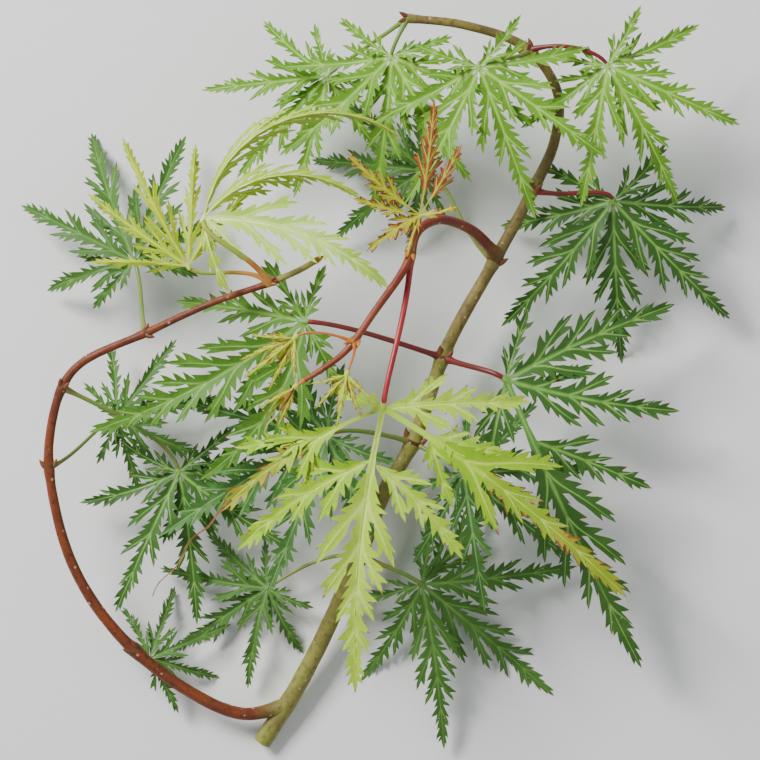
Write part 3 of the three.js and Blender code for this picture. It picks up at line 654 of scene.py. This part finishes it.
class Nodes:
    """Adds nodes to a material and links them."""

    def __init__(self, made):
        made.use_nodes = True
        self.tree = made.node_tree
        self.tree.nodes.clear()
        self.where = self.add("ShaderNodeTexCoord", {}).outputs["Object"]

    def add(self, kind, values, **settings):
        node = self.tree.nodes.new(kind)
        for key, value in settings.items():
            setattr(node, key, value)
        for key, value in values.items():
            if isinstance(value, bpy.types.NodeSocket):
                self.tree.links.new(value, node.inputs[key])
            else:
                node.inputs[key].default_value = value
        return node

    def noise(self, scale, detail=3.0):
        values = {"Vector": self.where, "Scale": scale, "Detail": detail}
        return self.add("ShaderNodeTexNoise", values).outputs["Fac"]

    def cells(self, scale, feature):
        values = {"Vector": self.where, "Scale": scale}
        return self.add("ShaderNodeTexVoronoi", values, feature=feature).outputs["Distance"]

    def ramp(self, fac, low, high):
        """A value stretched so that low becomes 0 and high becomes 1."""
        values = {"Value": fac, "From Min": low, "From Max": high}
        return self.add("ShaderNodeMapRange", values).outputs["Result"]

    def blend(self, fac, a, b):
        return self.add("ShaderNodeMix", {0: fac, 6: a, 7: b}, data_type="RGBA").outputs[2]

    def bump(self, height, strength, distance, normal=None):
        values = {"Height": height, "Strength": strength, "Distance": distance}
        if normal:
            values["Normal"] = normal
        return self.add("ShaderNodeBump", values).outputs["Normal"]

    def shader(self, values):
        shader = self.add("ShaderNodeBsdfPrincipled", values)
        self.add("ShaderNodeOutputMaterial", {"Surface": shader.outputs["BSDF"]})


def surface(nodes, paint):
    """What a paint gives a shader: two tints in clouds, with grain and a net of veinlets or dots of pores."""
    main, other, roughness, kind = PAINTS[paint]
    main, other, look = linear(main), linear(other), SURFACES[kind]
    scale, detail, low, high = look["cloud"]
    colour = nodes.blend(nodes.ramp(nodes.noise(scale, detail), low, high), main, other)
    normal = None
    if kind == "leaf":
        net = nodes.cells(VEINLETS["scale"], "DISTANCE_TO_EDGE")
        colour = nodes.blend(nodes.ramp(net, *VEINLETS["ramp"]), shade(other, VEINLETS["light"]), colour)
        normal = nodes.bump(net, *VEINLETS["bump"])
    grain = nodes.noise(*look["grain"])
    if "specks" in look:
        low, high, dark = look["specks"]
        specks = shade(other if kind == "bark" else main, dark)
        colour = nodes.blend(nodes.ramp(grain, low, high), colour, specks)
    normal = nodes.bump(grain, *look["bump"], normal)
    if kind == "bark":
        pores = nodes.cells(PORES["scale"], "F1")
        colour = nodes.blend(nodes.ramp(pores, *PORES["ramp"]), PORES["colour"], colour)
        normal = nodes.bump(pores, *PORES["bump"], normal)
    return {"Base Color": colour, "Roughness": roughness, "Normal": normal,
            "Specular IOR Level": look["specular"]}


def blend_in(nodes, colour, place, near, start, stop):
    """Another paint's colour near a place, with an uneven border."""
    place = (Vector(place) - MIDDLE) * TO_METRES
    away = nodes.add("ShaderNodeVectorMath", {0: nodes.where, 1: place}, operation="DISTANCE")
    values = {0: nodes.noise(BORDER_SCALE), 1: BORDER * TO_METRES, 2: away.outputs["Value"]}
    uneven = nodes.add("ShaderNodeMath", values, operation="MULTIPLY_ADD").outputs[0]
    fac = nodes.ramp(uneven, (start + BORDER / 2) * TO_METRES, (stop + BORDER / 2) * TO_METRES)
    return nodes.blend(fac, surface(nodes, near)["Base Color"], colour)


@cache
def material(paint):
    """The material of a paint, made once."""
    made = bpy.data.materials.new(paint)
    nodes = Nodes(made)
    values = surface(nodes, paint)
    if paint in BLENDS:
        values["Base Color"] = blend_in(nodes, values["Base Color"], *BLENDS[paint])
    nodes.shader(values)
    return made


# Tubes: limbs, stalks and buds

def tube(piece, line, step, sides, radius, paint, bands=None):
    """A closed tube along a line, with a ring at each step.

    radius(distance, angle) gives the surface, and paint(distance) its paint. The bands are those of the
    first cap, if it isn't plain."""
    reaches = even(0, line.length, step)
    rings = []
    for distance in reaches:
        place, along, across, over = line.ways(distance)
        ring = []
        for i in range(sides):
            angle = (i + 0.5) / sides * 2 * math.pi
            out = across * math.cos(angle) + over * math.sin(angle)
            spot = place + out * radius(distance, angle)
            spot.z = max(spot.z, 0.0)
            ring.append(spot)
        rings.append(ring)
    marks = [[piece.point(spot) for spot in ring] for ring in rings]
    girth = 2 * math.pi * radius(0, 0)
    row = int(ROW_LENGTH / reaches[1])
    for k, (distance, following) in enumerate(zip(reaches, reaches[1:])):
        if k % row == 0:
            corner = piece.room(min(ROW_LENGTH, line.length - distance) + GAP, girth + GAP)
            start = distance
        u0, u1 = corner.x + distance - start, corner.x + following - start
        for i in range(sides):
            j = (i + 1) % sides
            v0, v1 = corner.y + girth * i / sides, corner.y + girth * (i + 1) / sides
            piece.face((marks[k][i], marks[k][j], marks[k + 1][j], marks[k + 1][i]), paint(distance),
                       ((u0, v0), (u0, v1), (u1, v1), (u1, v0)))
    cap(piece, marks[0], rings[0], bands or [(0, paint(0))], True)
    cap(piece, marks[-1], rings[-1], [(0, paint(line.length))], False)


def cap(piece, ring, spots, bands, inward):
    """Closes a ring with bands towards its middle. Each band is the share where it ends, and its paint."""
    middle = sum(spots, Vector()) / len(spots)
    wide = max((spot - middle).length for spot in spots)
    corner = piece.room(2 * wide + GAP, 2 * wide + GAP) + Vector((wide, wide))
    count = len(ring)

    def flat(i, share):
        angle = 2 * math.pi * i / count
        return (corner.x + wide * share * math.cos(angle), corner.y + wide * share * math.sin(angle))

    outer, outer_share = ring, 1.0
    for share, paint in bands:
        if share:
            inner = [piece.point(middle.lerp(spot, share)) for spot in spots]
        else:
            inner = [piece.point(middle)] * count
        for i in range(count):
            j = (i + 1) % count
            corners = [outer[i], inner[i], inner[j], outer[j]]
            flats = [flat(i, outer_share), flat(i, share), flat(i + 1, share), flat(i + 1, outer_share)]
            if share == 0:
                del corners[2], flats[2]
            if not inward:
                corners.reverse()
                flats.reverse()
            piece.face(corners, paint, flats)
        outer, outer_share = inner, share


def bud(piece, foot, towards, length, paint, flatness=0.1):
    """A small pointed bud, or a scale if it is flat."""
    line = Line([foot - towards * length * BUD_SUNK, foot + towards * length])
    start, swelling, most = BUD_SWELL

    def radius(distance, angle):
        swell = math.sin(math.pi * min(start + swelling * (distance / line.length), most))
        return BUD_THICK * length * swell * (1 + flatness * math.cos(2 * angle))

    tube(piece, line, length / BUD_STEPS, STALK_SIDES, radius, lambda distance: paint)


# Limbs

def bark_radius(limb, seed):
    """The relief of a limb's bark: long shallow ridges, scars round its nodes and a collar at its foot."""
    coarse, fine, finer, around, along = RIDGES
    scars = [(node * limb.length + place, breadth, height)
             for node in limb.nodes for place, breadth, height in SCARS]

    def radius(distance, angle):
        spot = Vector((math.cos(angle) * around, math.sin(angle) * around, distance * along + seed))
        relief = coarse * noise.noise(spot) + fine * noise.noise(spot * finer)
        relief += humps(distance, scars + limb.spec["collar"])
        return limb.radius(distance / limb.length) * (1 + relief)

    return radius


def bark_paint(limb):
    """Bark with a darker ring at each node, and in another tint beyond some share of the limb."""
    beyond, late, clear = limb.spec["late"]

    def paint(distance):
        away = min(abs(distance - node * limb.length) for node in limb.nodes)
        if away < SCAR_HALF:
            return "node_scar"
        return late if distance / limb.length > beyond and away > clear else limb.spec["slot"]

    return paint


def grow_limb(name, limb, seed):
    spec = limb.spec
    piece = Piece()
    tube(piece, limb.line, BARK_STEP, BARK_SIDES, bark_radius(limb, seed), bark_paint(limb),
         spec.get("rings"))
    for index, node in enumerate(limb.nodes):
        place, along, across, over = limb.line.ways(node * limb.length)
        sideways, upwards = BUD_SPREADS[index % 2]
        for side in (1, -1):
            out = (across * side * sideways + UP * upwards).normalized()
            foot = place + out * limb.radius(node) * BUD_FOOT[0] + along * BUD_FOOT[1]
            towards = (out * BUD_WAY[0] + along * BUD_WAY[1]).normalized()
            bud(piece, foot, towards, BUD_SIZE * (1 + limb.radius(node)), spec["buds"])
    if name == "left_bough":
        end, along = limb.line.at(limb.length), limb.line.along(limb.length)
        bud(piece, end - along * END_BUD[0], along, END_BUD[1], "bud_scale")
    if name == "front_shoot":
        add_scales(piece, *limb.line.ways(limb.nodes[-1] * limb.length))
    piece.build(name + "_bark", spec["slot"], spec["replaces"])


def add_scales(piece, place, along, across, over):
    """Papery scales left round a young node."""
    for angle, back, length in SCALES:
        out = across * math.cos(angle) + over * math.sin(angle)
        foot = place + out * SCALE_OUT - along * back
        bud(piece, foot, (out * SCALE_SPREAD + along).normalized(), length, "bud_scale", SCALE_FLATNESS)


# Leaves

class Rib:
    """The middle line of a lobe. It leaves its start at a heading and a climb, and turns as it goes."""

    def __init__(self, start, turn, climb, bend, droop, reach):
        self.step = reach / RIB_STEPS
        shares = [i / RIB_STEPS for i in range(RIB_STEPS + 1)]
        self.headings = [turn + bend * share for share in shares]
        self.climbs = [climb - droop * share ** DROOP_POWER for share in shares]
        self.points = [start.copy()]
        for i in range(RIB_STEPS):
            heading, slope = ((row[i] + row[i + 1]) / 2 for row in (self.headings, self.climbs))
            self.points.append(self.points[i] + direction(heading, slope) * self.step)

    def at(self, u):
        """The point at a distance, the ways across and over the blade there, and its climb."""
        index = int(clamp(math.floor(u / self.step), 0, RIB_STEPS - 1))
        rest = u / self.step - index
        share = clamp(rest, 0, 1)
        heading, climb = (mix(row[index], row[index + 1], share) for row in (self.headings, self.climbs))
        across = direction(heading + 90, 0)
        point = mix(self.points[index], self.points[index + 1], rest)
        return point, across, direction(heading, climb).cross(across), climb


def lobule_rows(spec, opened, deal):
    """The rule's pairs of lobules: for each side, the foot, length, angle and half foot of each."""
    leafy = spec["reach"] * (1 - spec["bare"])
    pairs = spec["pairs"] or int(clamp(math.floor(leafy / PAIR_SPACING + 0.5), 2, MOST_PAIRS))
    sides = {1: [], -1: []}
    for i in range(1 if spec["sides"] else spec["skip"], pairs):
        place = FIRST_PAIR + (LAST_PAIR - FIRST_PAIR) * i / (pairs - PAIR_EASE)
        half = LOBULE_WIDTH / 2 * leafy * (1 - LOBULE_TAPER * place)
        grown = mix(SHUT_LENGTH, 1, opened) * (NARROW_LENGTH if place > spec["narrow"] else 1)
        for row in sides.values():
            length = leafy * LOBULE_LENGTH * (1 - place) * (1 + deal(UNEVEN["length"])) * grown
            angle = (LOBULE_ANGLE + deal(UNEVEN["angle"])) * mix(SHUT_ANGLE, 1, opened)
            row.append((leafy * place, length, angle, half))
    return leafy, sides


def saw(line, pitch, height, outward, deal, first=0.0, tapered=True):
    """The points of a toothed edge along a line. Teeth lean forward, and each comes with its coloured tip."""
    total = line.length
    least, gain, most = TOOTH_GROWTH
    count = max(1, round(total * (1 - first) / pitch))
    marks = [total * (first + (1 - first) * (k + (deal(UNEVEN_TEETH[0]) if 0 < k < count else 0)) / count)
             for k in range(count + 1)]

    points = [line.at(marks[0] * k / 4) for k in range(4)] if first else []
    tips = []
    for k in range(count - 1):
        span = marks[k + 1] - marks[k]
        share = (marks[k] + marks[k + 1]) / 2 / total
        high = height * (1 + deal(UNEVEN_TEETH[1])) * (min(most, least + share * gain) if tapered else 1)
        high *= TOOTH_FADE[0] - TOOTH_FADE[1] * share
        tooth = [line.beside(marks[k] + span * on, outward * high * out) for on, out in TOOTH]
        if k == 0:
            tooth[0] = line.at(marks[0])
        points += tooth
        tips.append(tooth[2:])
    points.append(line.at(marks[-2] + (total / count * TOOTH[0][0] if count > 1 else 0)))
    points.append(line.beside(mix(marks[-2], total, LAST_TOOTH[0]), outward * height * LAST_TOOTH[1]))
    return points, tips, line.at(total)


def area(polygon):
    return sum(a.x * b.y - b.x * a.y for a, b in zip(polygon, polygon[1:] + polygon[:1])) / 2


def margin(leafy, u):
    return MARGIN * THIN_MARGIN * leafy * (1 - MARGIN_TAPER * clamp(u / leafy, 0, 1))


class Cut:
    """The flat pattern of one lobe: overlapping outlines, each with a part to play."""

    def __init__(self, leaf_spec, spec, size, deal):
        self.outlines = []
        self.veins = []
        self.spec = spec
        self.size = size
        self.deal = deal
        self.tip_rate = TIPS[leaf_spec["slot"]][1]
        self.edged = leaf_spec["edged"]
        self.pitch = TOOTH_PITCH * math.sqrt(size)
        self.tooth = TOOTH_HEIGHT * mix(SHUT_TEETH, 1, leaf_spec["opened"]) * self.pitch

    def add(self, polygon, role, side=1):
        polygon = [Vector((point.x, point.y * side)) for point in polygon]
        if area(polygon) < 0:
            polygon.reverse()
        self.outlines.append((polygon, role))

    def heights(self):
        """A function for how far a point of the blade rises from the nearest vein."""
        tree = kdtree.KDTree(len(self.veins))
        for index, spot in enumerate(self.veins):
            tree.insert(spot, index)
        tree.balance()
        return lambda point: LOBULE_FOLD * tree.find((point.x, point.y, 0))[2]

    def tone(self, outwards):
        """The part a blade plays at a share of the lobe: some lobes are warmer towards their ends."""
        if outwards > self.spec["warm"] + RIPE_BEYOND:
            return "ripe"
        return "warm" if outwards > self.spec["warm"] else "blade"

    def add_tip(self, slope, point, cut, outwards, side=1):
        if (self.deal(0.5) + 0.5) < self.tip_rate * (1 + TIP_GAIN * outwards ** 2):
            self.add([point.lerp(slope, TIP_SHARE), point, point.lerp(cut, TIP_SHARE)], "tip", side)

    def add_edge(self, rim, vein, outwards, side):
        """A coloured band that comes and goes along a toothed edge, on lobules that have one."""
        if self.edged != "all" and not (self.edged and outwards > self.spec["warm"]):
            return
        share, gap = EDGES[self.edged]
        inset = [point.lerp(min(vein.points, key=lambda spot: (spot - point).length), share) for point in rim]
        for a, b, c, d in zip(rim, rim[1:], inset, inset[1:]):
            spot = Vector((a.x * EDGE_PATCHES, a.y * side * EDGE_PATCHES, self.spec["turn"] * EDGE_SHIFT))
            if noise.noise(spot) > gap:
                for triangle in ([a, b, c], [b, d, c]):
                    if abs(area(triangle)) > SMALLEST_FACE:
                        self.add(triangle, "edge", side)

    def add_vein(self, line, half, beside, role="vein", side=1, inner=None, least=0.0):
        """A vein, and the lighter blade beside it: the leaf's paler green with painted highlight."""
        self.veins += [Vector((point.x, point.y * side, 0)) for point in line.points]
        taper = VEIN_TAPER if role == "vein" else STRIP_TAPER
        self.strip(line, lambda share: half * (1 - taper * share) + least, role, side)
        self.strip(inner or line, lambda share: beside * (1 - STRIP_TAPER * share), "inner", side)

    def strip(self, centre, width, role, side=1):
        """A tapering strip along a centre line."""
        left, right = [], []
        for share in even(0, 1, min(0.5, VEIN_STEP / centre.length)):
            left.append(centre.beside(share * centre.length, width(share)))
            right.append(centre.beside(share * centre.length, -width(share)))
        self.add(left + right[::-1], role, side)


def cut_lobule(cut, leafy, lobule, start, side):
    """Cuts one lobule and the blade between it and the axil before it. Returns where its own axil is."""
    foot, length, angle, half = lobule
    slim = cut.spec["slim"]
    breadth = LOBULE_BREADTH * math.sqrt(length * cut.size) * slim
    inward = polar(0, 1, angle - 90)

    def on(share, turn, depth=0):
        return polar(foot, length * share, angle + turn) + inward * breadth * depth

    axil_u = foot + half * AXIL
    axil = Vector((axil_u, margin(leafy, axil_u)))
    near = Vector((start, margin(leafy, start)))
    shoulder = on(SHOULDER[0], SHOULDER[1] * slim)
    heel = Vector((mix(near.x, shoulder.x, HEEL[0]), mix(near.y, shoulder.y, HEEL[1])))
    tip = on(1, -LOBULE_HOOK / 2)
    outer = Line(spline([near, heel, shoulder, on(*BROW), tip]))
    hollow = axil + polar(0, 1, angle + HOLLOW[2]) * min(breadth * HOLLOW[0], length * HOLLOW[1])
    inner = Line(spline([axil, hollow, on(*WAIST), on(*BEND), tip]))
    upper, upper_tips, end = saw(outer, cut.pitch, cut.tooth, 1, cut.deal)
    pitch, height, first = INNER_TEETH
    lower, lower_tips, end = saw(inner, cut.pitch * pitch, cut.tooth * height, -1, cut.deal, first)
    middle = on(*VEIN_MIDDLE)
    root = Vector((foot - half * VEIN_ROOT, 0))
    rise = Vector((mix(root.x, middle.x, VEIN_RISE[0]), middle.y * VEIN_RISE[1]))
    vein = Line(spline([root, rise, middle, on(VEIN_END[0], VEIN_END[1] - LOBULE_HOOK / 2)]))
    outwards = axil_u / leafy
    cut.add([Vector((start, 0)), *upper, end, *lower[::-1], Vector((axil_u, 0))], cut.tone(outwards), side)
    cut.add_edge([*upper[1:], end], vein, outwards, side)
    cut.add_edge([*lower[4:], end], vein, outwards, side)
    for tooth in upper_tips + lower_tips:
        cut.add_tip(*tooth, outwards, side)
    cut.add_tip(upper[-1], end, lower[-1], outwards + TIP_PLACES[0], side)
    wide = VEIN_HALF * cut.size ** VEIN_POWER
    cut.add_vein(vein, wide, wide * BESIDE_VEIN * min(1, slim), side=side)
    return axil_u


def cut_lobe(cut, leafy, sides):
    """The flat pattern of a lobe: its neck, lobules, end and veins."""
    foot, length, angle, half = sides[1][0]
    begin = max(foot - half * NECK_END[0] - length * NECK_END[1], leafy * NECK_END[2])
    neck = NECK * leafy * THIN_NECK
    waist, slender, open_share = NECK_SHAPE
    wide = margin(leafy, begin) * open_share
    right = [Vector((FOOT, -neck)), Vector((begin * waist, -neck * slender)), Vector((begin, -wide))]
    cut.add([*right, *(Vector((point.x, -point.y)) for point in right[::-1])], "inner")
    ends = {}
    for side, row in sides.items():
        ends[side] = begin
        for lobule in row:
            ends[side] = cut_lobule(cut, leafy, lobule, ends[side], side)
    cut_end(cut, leafy, ends)
    half = MIDRIB_HALF * cut.size ** VEIN_POWER
    centre = straight(MIDRIB_REACH[0], leafy * MIDRIB_REACH[1] + MIDRIB_REACH[0])
    blade_centre = straight(begin, leafy * MIDRIB_REACH[2])
    cut.add_vein(centre, half, min(half * BESIDE_MIDRIB, wide), "rib", inner=blade_centre, least=MIDRIB_END)


def cut_end(cut, leafy, ends):
    """The end of a lobe beyond its last lobules; a bare one runs out in a thin dry thread."""
    bare = cut.spec["bare"] > 0
    rib = straight(0, leafy)
    halves = []
    for side, start in ends.items():
        length = leafy - start
        near = margin(leafy, start)
        wide = max(LOBULE_BREADTH * math.sqrt(length * cut.size) * END_BREADTH, near * END_LEAST)
        route = [Vector((start, near)), *(Vector((start + length * on, wide * out)) for on, out in END_SHAPE),
                 Vector((leafy, THREAD_HALF if bare else 0.0))]
        points, tips, end = saw(Line(spline(route)), cut.pitch * END_TEETH, cut.tooth * END_TEETH ** 2, 1,
                                cut.deal, tapered=False)
        cut.add_edge([*points[1:], end], rib, 1.0, side)
        for tooth in tips:
            cut.add_tip(*tooth, TIP_PLACES[1], side)
        halves.append([Vector((point.x, point.y * side)) for point in [*points, end]])
    left, right = halves
    if not bare:
        right.pop()
        cut.add_tip(left[-2], left[-1], right[-1], TIP_PLACES[2])
    cut.add([*left, *right[::-1]], cut.tone(1.0))
    if bare:
        sway, turns, ease = THREAD_WAVE
        wave = [Vector((u, sway * math.sin((u - leafy) * turns) * min(1.0, (u - leafy) / ease)))
                for u in even(leafy, cut.spec["reach"], VEIN_STEP / 2)]
        line = Line([Vector((leafy - ease, 0)), Vector((leafy - ease / 2, 0)), *wave])
        cut.strip(line, lambda share: mix(*THREAD_ENDS, math.sqrt(share)), "thread")


def relief(leafy, sides, deal):
    """A function for how far the lobules of one lobe rise or sink out of the blade's own form."""
    rows = {}
    for side, row in sides.items():
        rows[side] = [(0.0, 0.0), *((lobule[0], deal(UNEVEN_RISE)) for lobule in row), (leafy, 0.0)]
    wave = deal(RIPPLE[2])

    def lift(u, v):
        away = abs(v)
        back = u - away / math.tan(math.radians(LOBULE_ANGLE - AXIL_LAG))
        marks = rows[1 if v >= 0 else -1]
        slope = marks[-1][1]
        for (a, rise_a), (b, rise_b) in zip(marks, marks[1:]):
            if back < b:
                slope = mix(rise_a, rise_b, clamp((back - a) / max(b - a, 1e-6), 0, 1))
                break
        ripple = RIPPLE[0] * leafy * math.sin(u / leafy * RIPPLE[1] + wave)
        ripple *= min(1.0, away / (RISE_OVER[1] * leafy))
        return slope * away * min(1.0, away / (RISE_OVER[0] * leafy)) + ripple - LOBULE_DROOP * away * away

    return lift


def lay_lobe(piece, cut, rib, lift_at, paints):
    """Turns the flat pattern of a lobe into a thin closed blade in space."""
    flat, outlines = [], []
    raised = set()
    for polygon, role in cut.outlines:
        indices = list(range(len(flat), len(flat) + len(polygon)))
        outlines.append(indices)
        flat += polygon
        if role in ("rib", "vein"):
            raised.update(indices)
    verts, edges, faces, from_verts, from_edges, from_faces = delaunay_2d_cdt(flat, [], outlines, 0, NEAR)
    inside = [(face, owners) for face, owners in zip(faces, from_faces) if owners]
    used = dict.fromkeys(i for face, owners in inside for i in face)
    height = cut.heights()
    hang = math.radians(cut.spec["hang"])
    tops, bottoms = {}, {}
    for i in used:
        u, v = verts[i]
        point, across, over, climb = rib.at(u)
        rise = (FOLD - math.sin(hang)) * abs(v) - SAG * v * v + lift_at(u, v) + height(verts[i])
        middle = point + across * v * math.cos(hang) + over * rise
        thick = VEIN_THICK * cut.size ** THICK_POWER if any(k in raised for k in from_verts[i]) else RIM_THICK
        below = middle - over * thick / 2
        lift = Vector((0, 0, max(0.0, -below.z)))
        tops[i] = piece.point(middle + over * thick / 2 + lift)
        bottoms[i] = piece.point(below + lift)
    low = Vector((min(verts[i].x for i in used), min(verts[i].y for i in used)))
    high = Vector((max(verts[i].x for i in used), max(verts[i].y for i in used)))
    width, depth = high - low + Vector((2 * GAP, 2 * GAP))
    shift = Vector((GAP, GAP)) - low
    top_shift, bottom_shift = shift + piece.room(width, depth), shift + piece.room(width, depth)
    borders = {}
    for (a, b, c), owners in inside:
        roles = {cut.outlines[k][1] for k in owners}
        role = next(name for name in ROLE_ORDER if name in roles)
        for ends, shift, order in ((tops, top_shift, (a, b, c)), (bottoms, bottom_shift, (c, b, a))):
            piece.face([ends[i] for i in order], paints[role], [verts[i] + shift for i in order])
        for start, stop in ((a, b), (b, c), (c, a)):
            if (stop, start) in borders:
                del borders[(stop, start)]
            else:
                borders[(start, stop)] = role
    for (start, stop), role in borders.items():
        along = (verts[stop] - verts[start]).normalized()
        out = Vector((along.y, -along.x)) * GAP / 4
        p, q = verts[start] + top_shift, verts[stop] + top_shift
        corners = (tops[start], bottoms[start], bottoms[stop], tops[stop])
        piece.face(corners, paints[role], (p, p + out, q + out, q))


def fan_lobes(heading, reach, count, spread, more, deal):
    """A regular fan of lobes round the leaf's heading, the middle one longest."""
    lobes = []
    for i in range(count):
        side = i - (count - 1) / 2
        turn = heading + side * spread + deal(UNEVEN["turn"])
        length = reach * FAN_SHARES[int(abs(side))] * (1 + deal(UNEVEN["reach"]))
        bend = side * FAN_BEND + deal(UNEVEN["bend"])
        lobes.append(lobe(turn, length, bend, lean=-LEAN if i % 2 else LEAN, **more))
    return lobes


def lay_lobes(piece, spec, start, leaf_spec, size, paints, deal, fine):
    """The blade of one lobe, and after it the blades of its long side lobes."""
    tilt = leaf_spec["tilt"] * math.cos(math.radians(spec["turn"] - leaf_spec["heading"]))
    climb = spec.get("climb", leaf_spec["climb"] + tilt + spec["lean"])
    rib = Rib(start, spec["turn"], climb, spec["bend"], leaf_spec["droop"] * spec["droop"], spec["reach"])
    cut = Cut(leaf_spec, spec, size, fine)
    leafy, sides = lobule_rows(spec, leaf_spec["opened"], deal)
    cut_lobe(cut, leafy, sides)
    if spec["tint"]:
        tinted = leaf_spec["slot"] + "_" + spec["tint"]
        paints = {**paints, "blade": tinted + "_blade", "inner": tinted + "_inner_blade"}
    lay_lobe(piece, cut, rib, relief(leafy, sides, fine), paints)
    for side in spec["sides"]:
        point, across, over, foot_climb = rib.at(side["at"] * spec["reach"])
        side = {**side, "climb": foot_climb, "droop": SIDE_DROOP}
        lay_lobes(piece, side, point, leaf_spec, size, paints, deal, fine)


def stalk_line(limb, spec):
    """A stalk from the limb to the leaf's centre, which it meets in line with the leaf."""
    start, along = limb.line.at(spec["at"] * limb.length), limb.line.along(spec["at"] * limb.length)
    end = spec["centre"]
    length = (end - start).length
    leaving = (end - start).normalized()
    if spec["at"] < 1:
        leaving = (leaving - along * (STALK_SPREAD * leaving.dot(along))).normalized()
    arriving = direction(spec["heading"], spec["tilt"] + spec["climb"] / 2)
    lift = UP * spec["arch"]
    return Line(bezier(start, start + leaving * length * STALK_PULLS[0] + lift,
                       end - arriving * length * STALK_PULLS[1] + lift / 2, end, STALK_PARTS))


def lay_stalk(piece, line, thick, paint):
    def radius(distance, angle):
        relief = humps(distance, STALK_FOOT) + humps(line.length - distance, STALK_HEAD)
        relief += humps(angle, GROOVE)
        return thick * (1 - STALK_TAPER * distance / line.length) * (1 + relief)

    tube(piece, line, STALK_STEP, STALK_SIDES, radius, lambda distance: paint)


def lay_dry_tip(piece):
    line = Line(spline(DRY_TIP))

    def radius(distance, angle):
        crease = DRY_TIP_CREASE * math.cos(3 * angle + distance)
        return mix(*DRY_TIP_RADII, distance / line.length) * (1 + crease)

    def paint(distance):
        return "dry_curl" if distance < line.length / 2 else "dry_tip"

    tube(piece, line, STALK_STEP / 2, DRY_TIP_SIDES, radius, paint)


def grow_leaf(name, spec, limb, seed):
    piece = Piece()
    fine = dealer(FINE_SEEDS[0] + seed * FINE_SEEDS[1])
    if isinstance(spec["lobes"], tuple):
        *shape, fan_seed, more = spec["lobes"]
        deal = dealer(fan_seed)
        lobes = fan_lobes(spec["heading"], *shape, more, deal)
    else:
        deal = dealer(seed)
        lobes = spec["lobes"]
    reach = max(made["reach"] for made in lobes)
    full = clamp(reach / FULL_REACH, SMALLEST, 1)
    size = clamp(reach / FULL_REACH, *SIZES)
    slot = spec["slot"]
    paints = {role: slot + "_" + role for role in ("vein", "rib")}
    paints |= {role: slot + "_" + role + "_blade" for role in ("inner", "warm", "ripe")}
    paints |= {"blade": slot + "_blade", "thread": "dry_thread", "edge": spec["edge"], "tip": TIPS[slot][0]}
    if paints["rib"] not in PAINTS:
        paints["rib"] = paints["vein"]
    if spec["edged"] == "all":
        paints["tip"] = spec["edge"]
    young = spec["opened"] < YOUNG
    thick = STALK_THICK / 2 * mix(SMALL_STALK, 1, full) * (YOUNG_STALK if young else 1)
    lay_stalk(piece, stalk_line(limb, spec), thick, spec["stalk"])
    knob = HUB_SIZE * mix(SMALL_HUB, 1, full) * (YOUNG_KNOB if young else GROWN_KNOB)
    ahead = direction(spec["heading"], 0)
    bud(piece, spec["centre"] - ahead * knob * KNOB_BACK, ahead, knob * KNOB_LENGTH, paints["rib"])
    for made in lobes:
        lay_lobes(piece, made, spec["centre"], spec, size, paints, deal, fine)
    if name == "shoot_tip_leaf":
        lay_dry_tip(piece)
    piece.build(name + "_blades", slot, [name])


# The branch
limbs = {name: Limb(spec) for name, spec in LIMBS.items()}
for seed, (name, limb) in enumerate(limbs.items()):
    grow_limb(name, limb, seed * 31)
for seed, (name, spec) in enumerate(LEAVES.items()):
    grow_leaf(name, spec, limbs[spec["limb"]], seed + 1)


# Floor, light and camera

def link(name, data, place=(0, 0, 0)):
    made = bpy.data.objects.new(name, data)
    made.location = place
    bpy.context.scene.collection.objects.link(made)
    return made


def add_floor():
    mesh = bpy.data.meshes.new("floor")
    corners = [(x * FLOOR_HALF, y * FLOOR_HALF, 0) for x, y in ((-1, -1), (1, -1), (1, 1), (-1, 1))]
    mesh.from_pydata(corners, [], [(0, 1, 2, 3)])
    made = bpy.data.materials.new("floor_paper")
    nodes = Nodes(made)
    nodes.shader({"Base Color": nodes.blend(nodes.noise(700, 4.0), *FLOOR_COLOURS), "Roughness": 0.85})
    mesh.materials.append(made)
    link("floor", mesh)


def add_lamp(name, place, power, width):
    data = bpy.data.lights.new(name, "AREA")
    data.energy = power
    data.size = width
    link(name, data, place).rotation_euler = (-Vector(place)).to_track_quat("-Z", "Y").to_euler()


def add_world(strength):
    world = bpy.data.worlds.new("studio")
    world.use_nodes = True
    background = world.node_tree.nodes["Background"]
    background.inputs["Color"].default_value = (0.9, 0.95, 1, 1)
    background.inputs["Strength"].default_value = strength
    bpy.context.scene.world = world


def add_camera():
    """Straight above the branch, as far up and as narrow as the photograph's view."""
    data = bpy.data.cameras.new("camera")
    data.sensor_fit = "HORIZONTAL"
    data.angle = VIEW_ANGLE
    place = (-MIDDLE.x * TO_METRES, -MIDDLE.y * TO_METRES, CAMERA_HEIGHT)
    bpy.context.scene.camera = link("camera", data, place)


add_floor()
add_lamp("key_light", (-0.5, 0.45, 0.6), 12.5, 0.3)
add_lamp("fill_light", (0.6, -0.3, 0.6), 1.6, 0.7)
add_world(0.33)
add_camera()
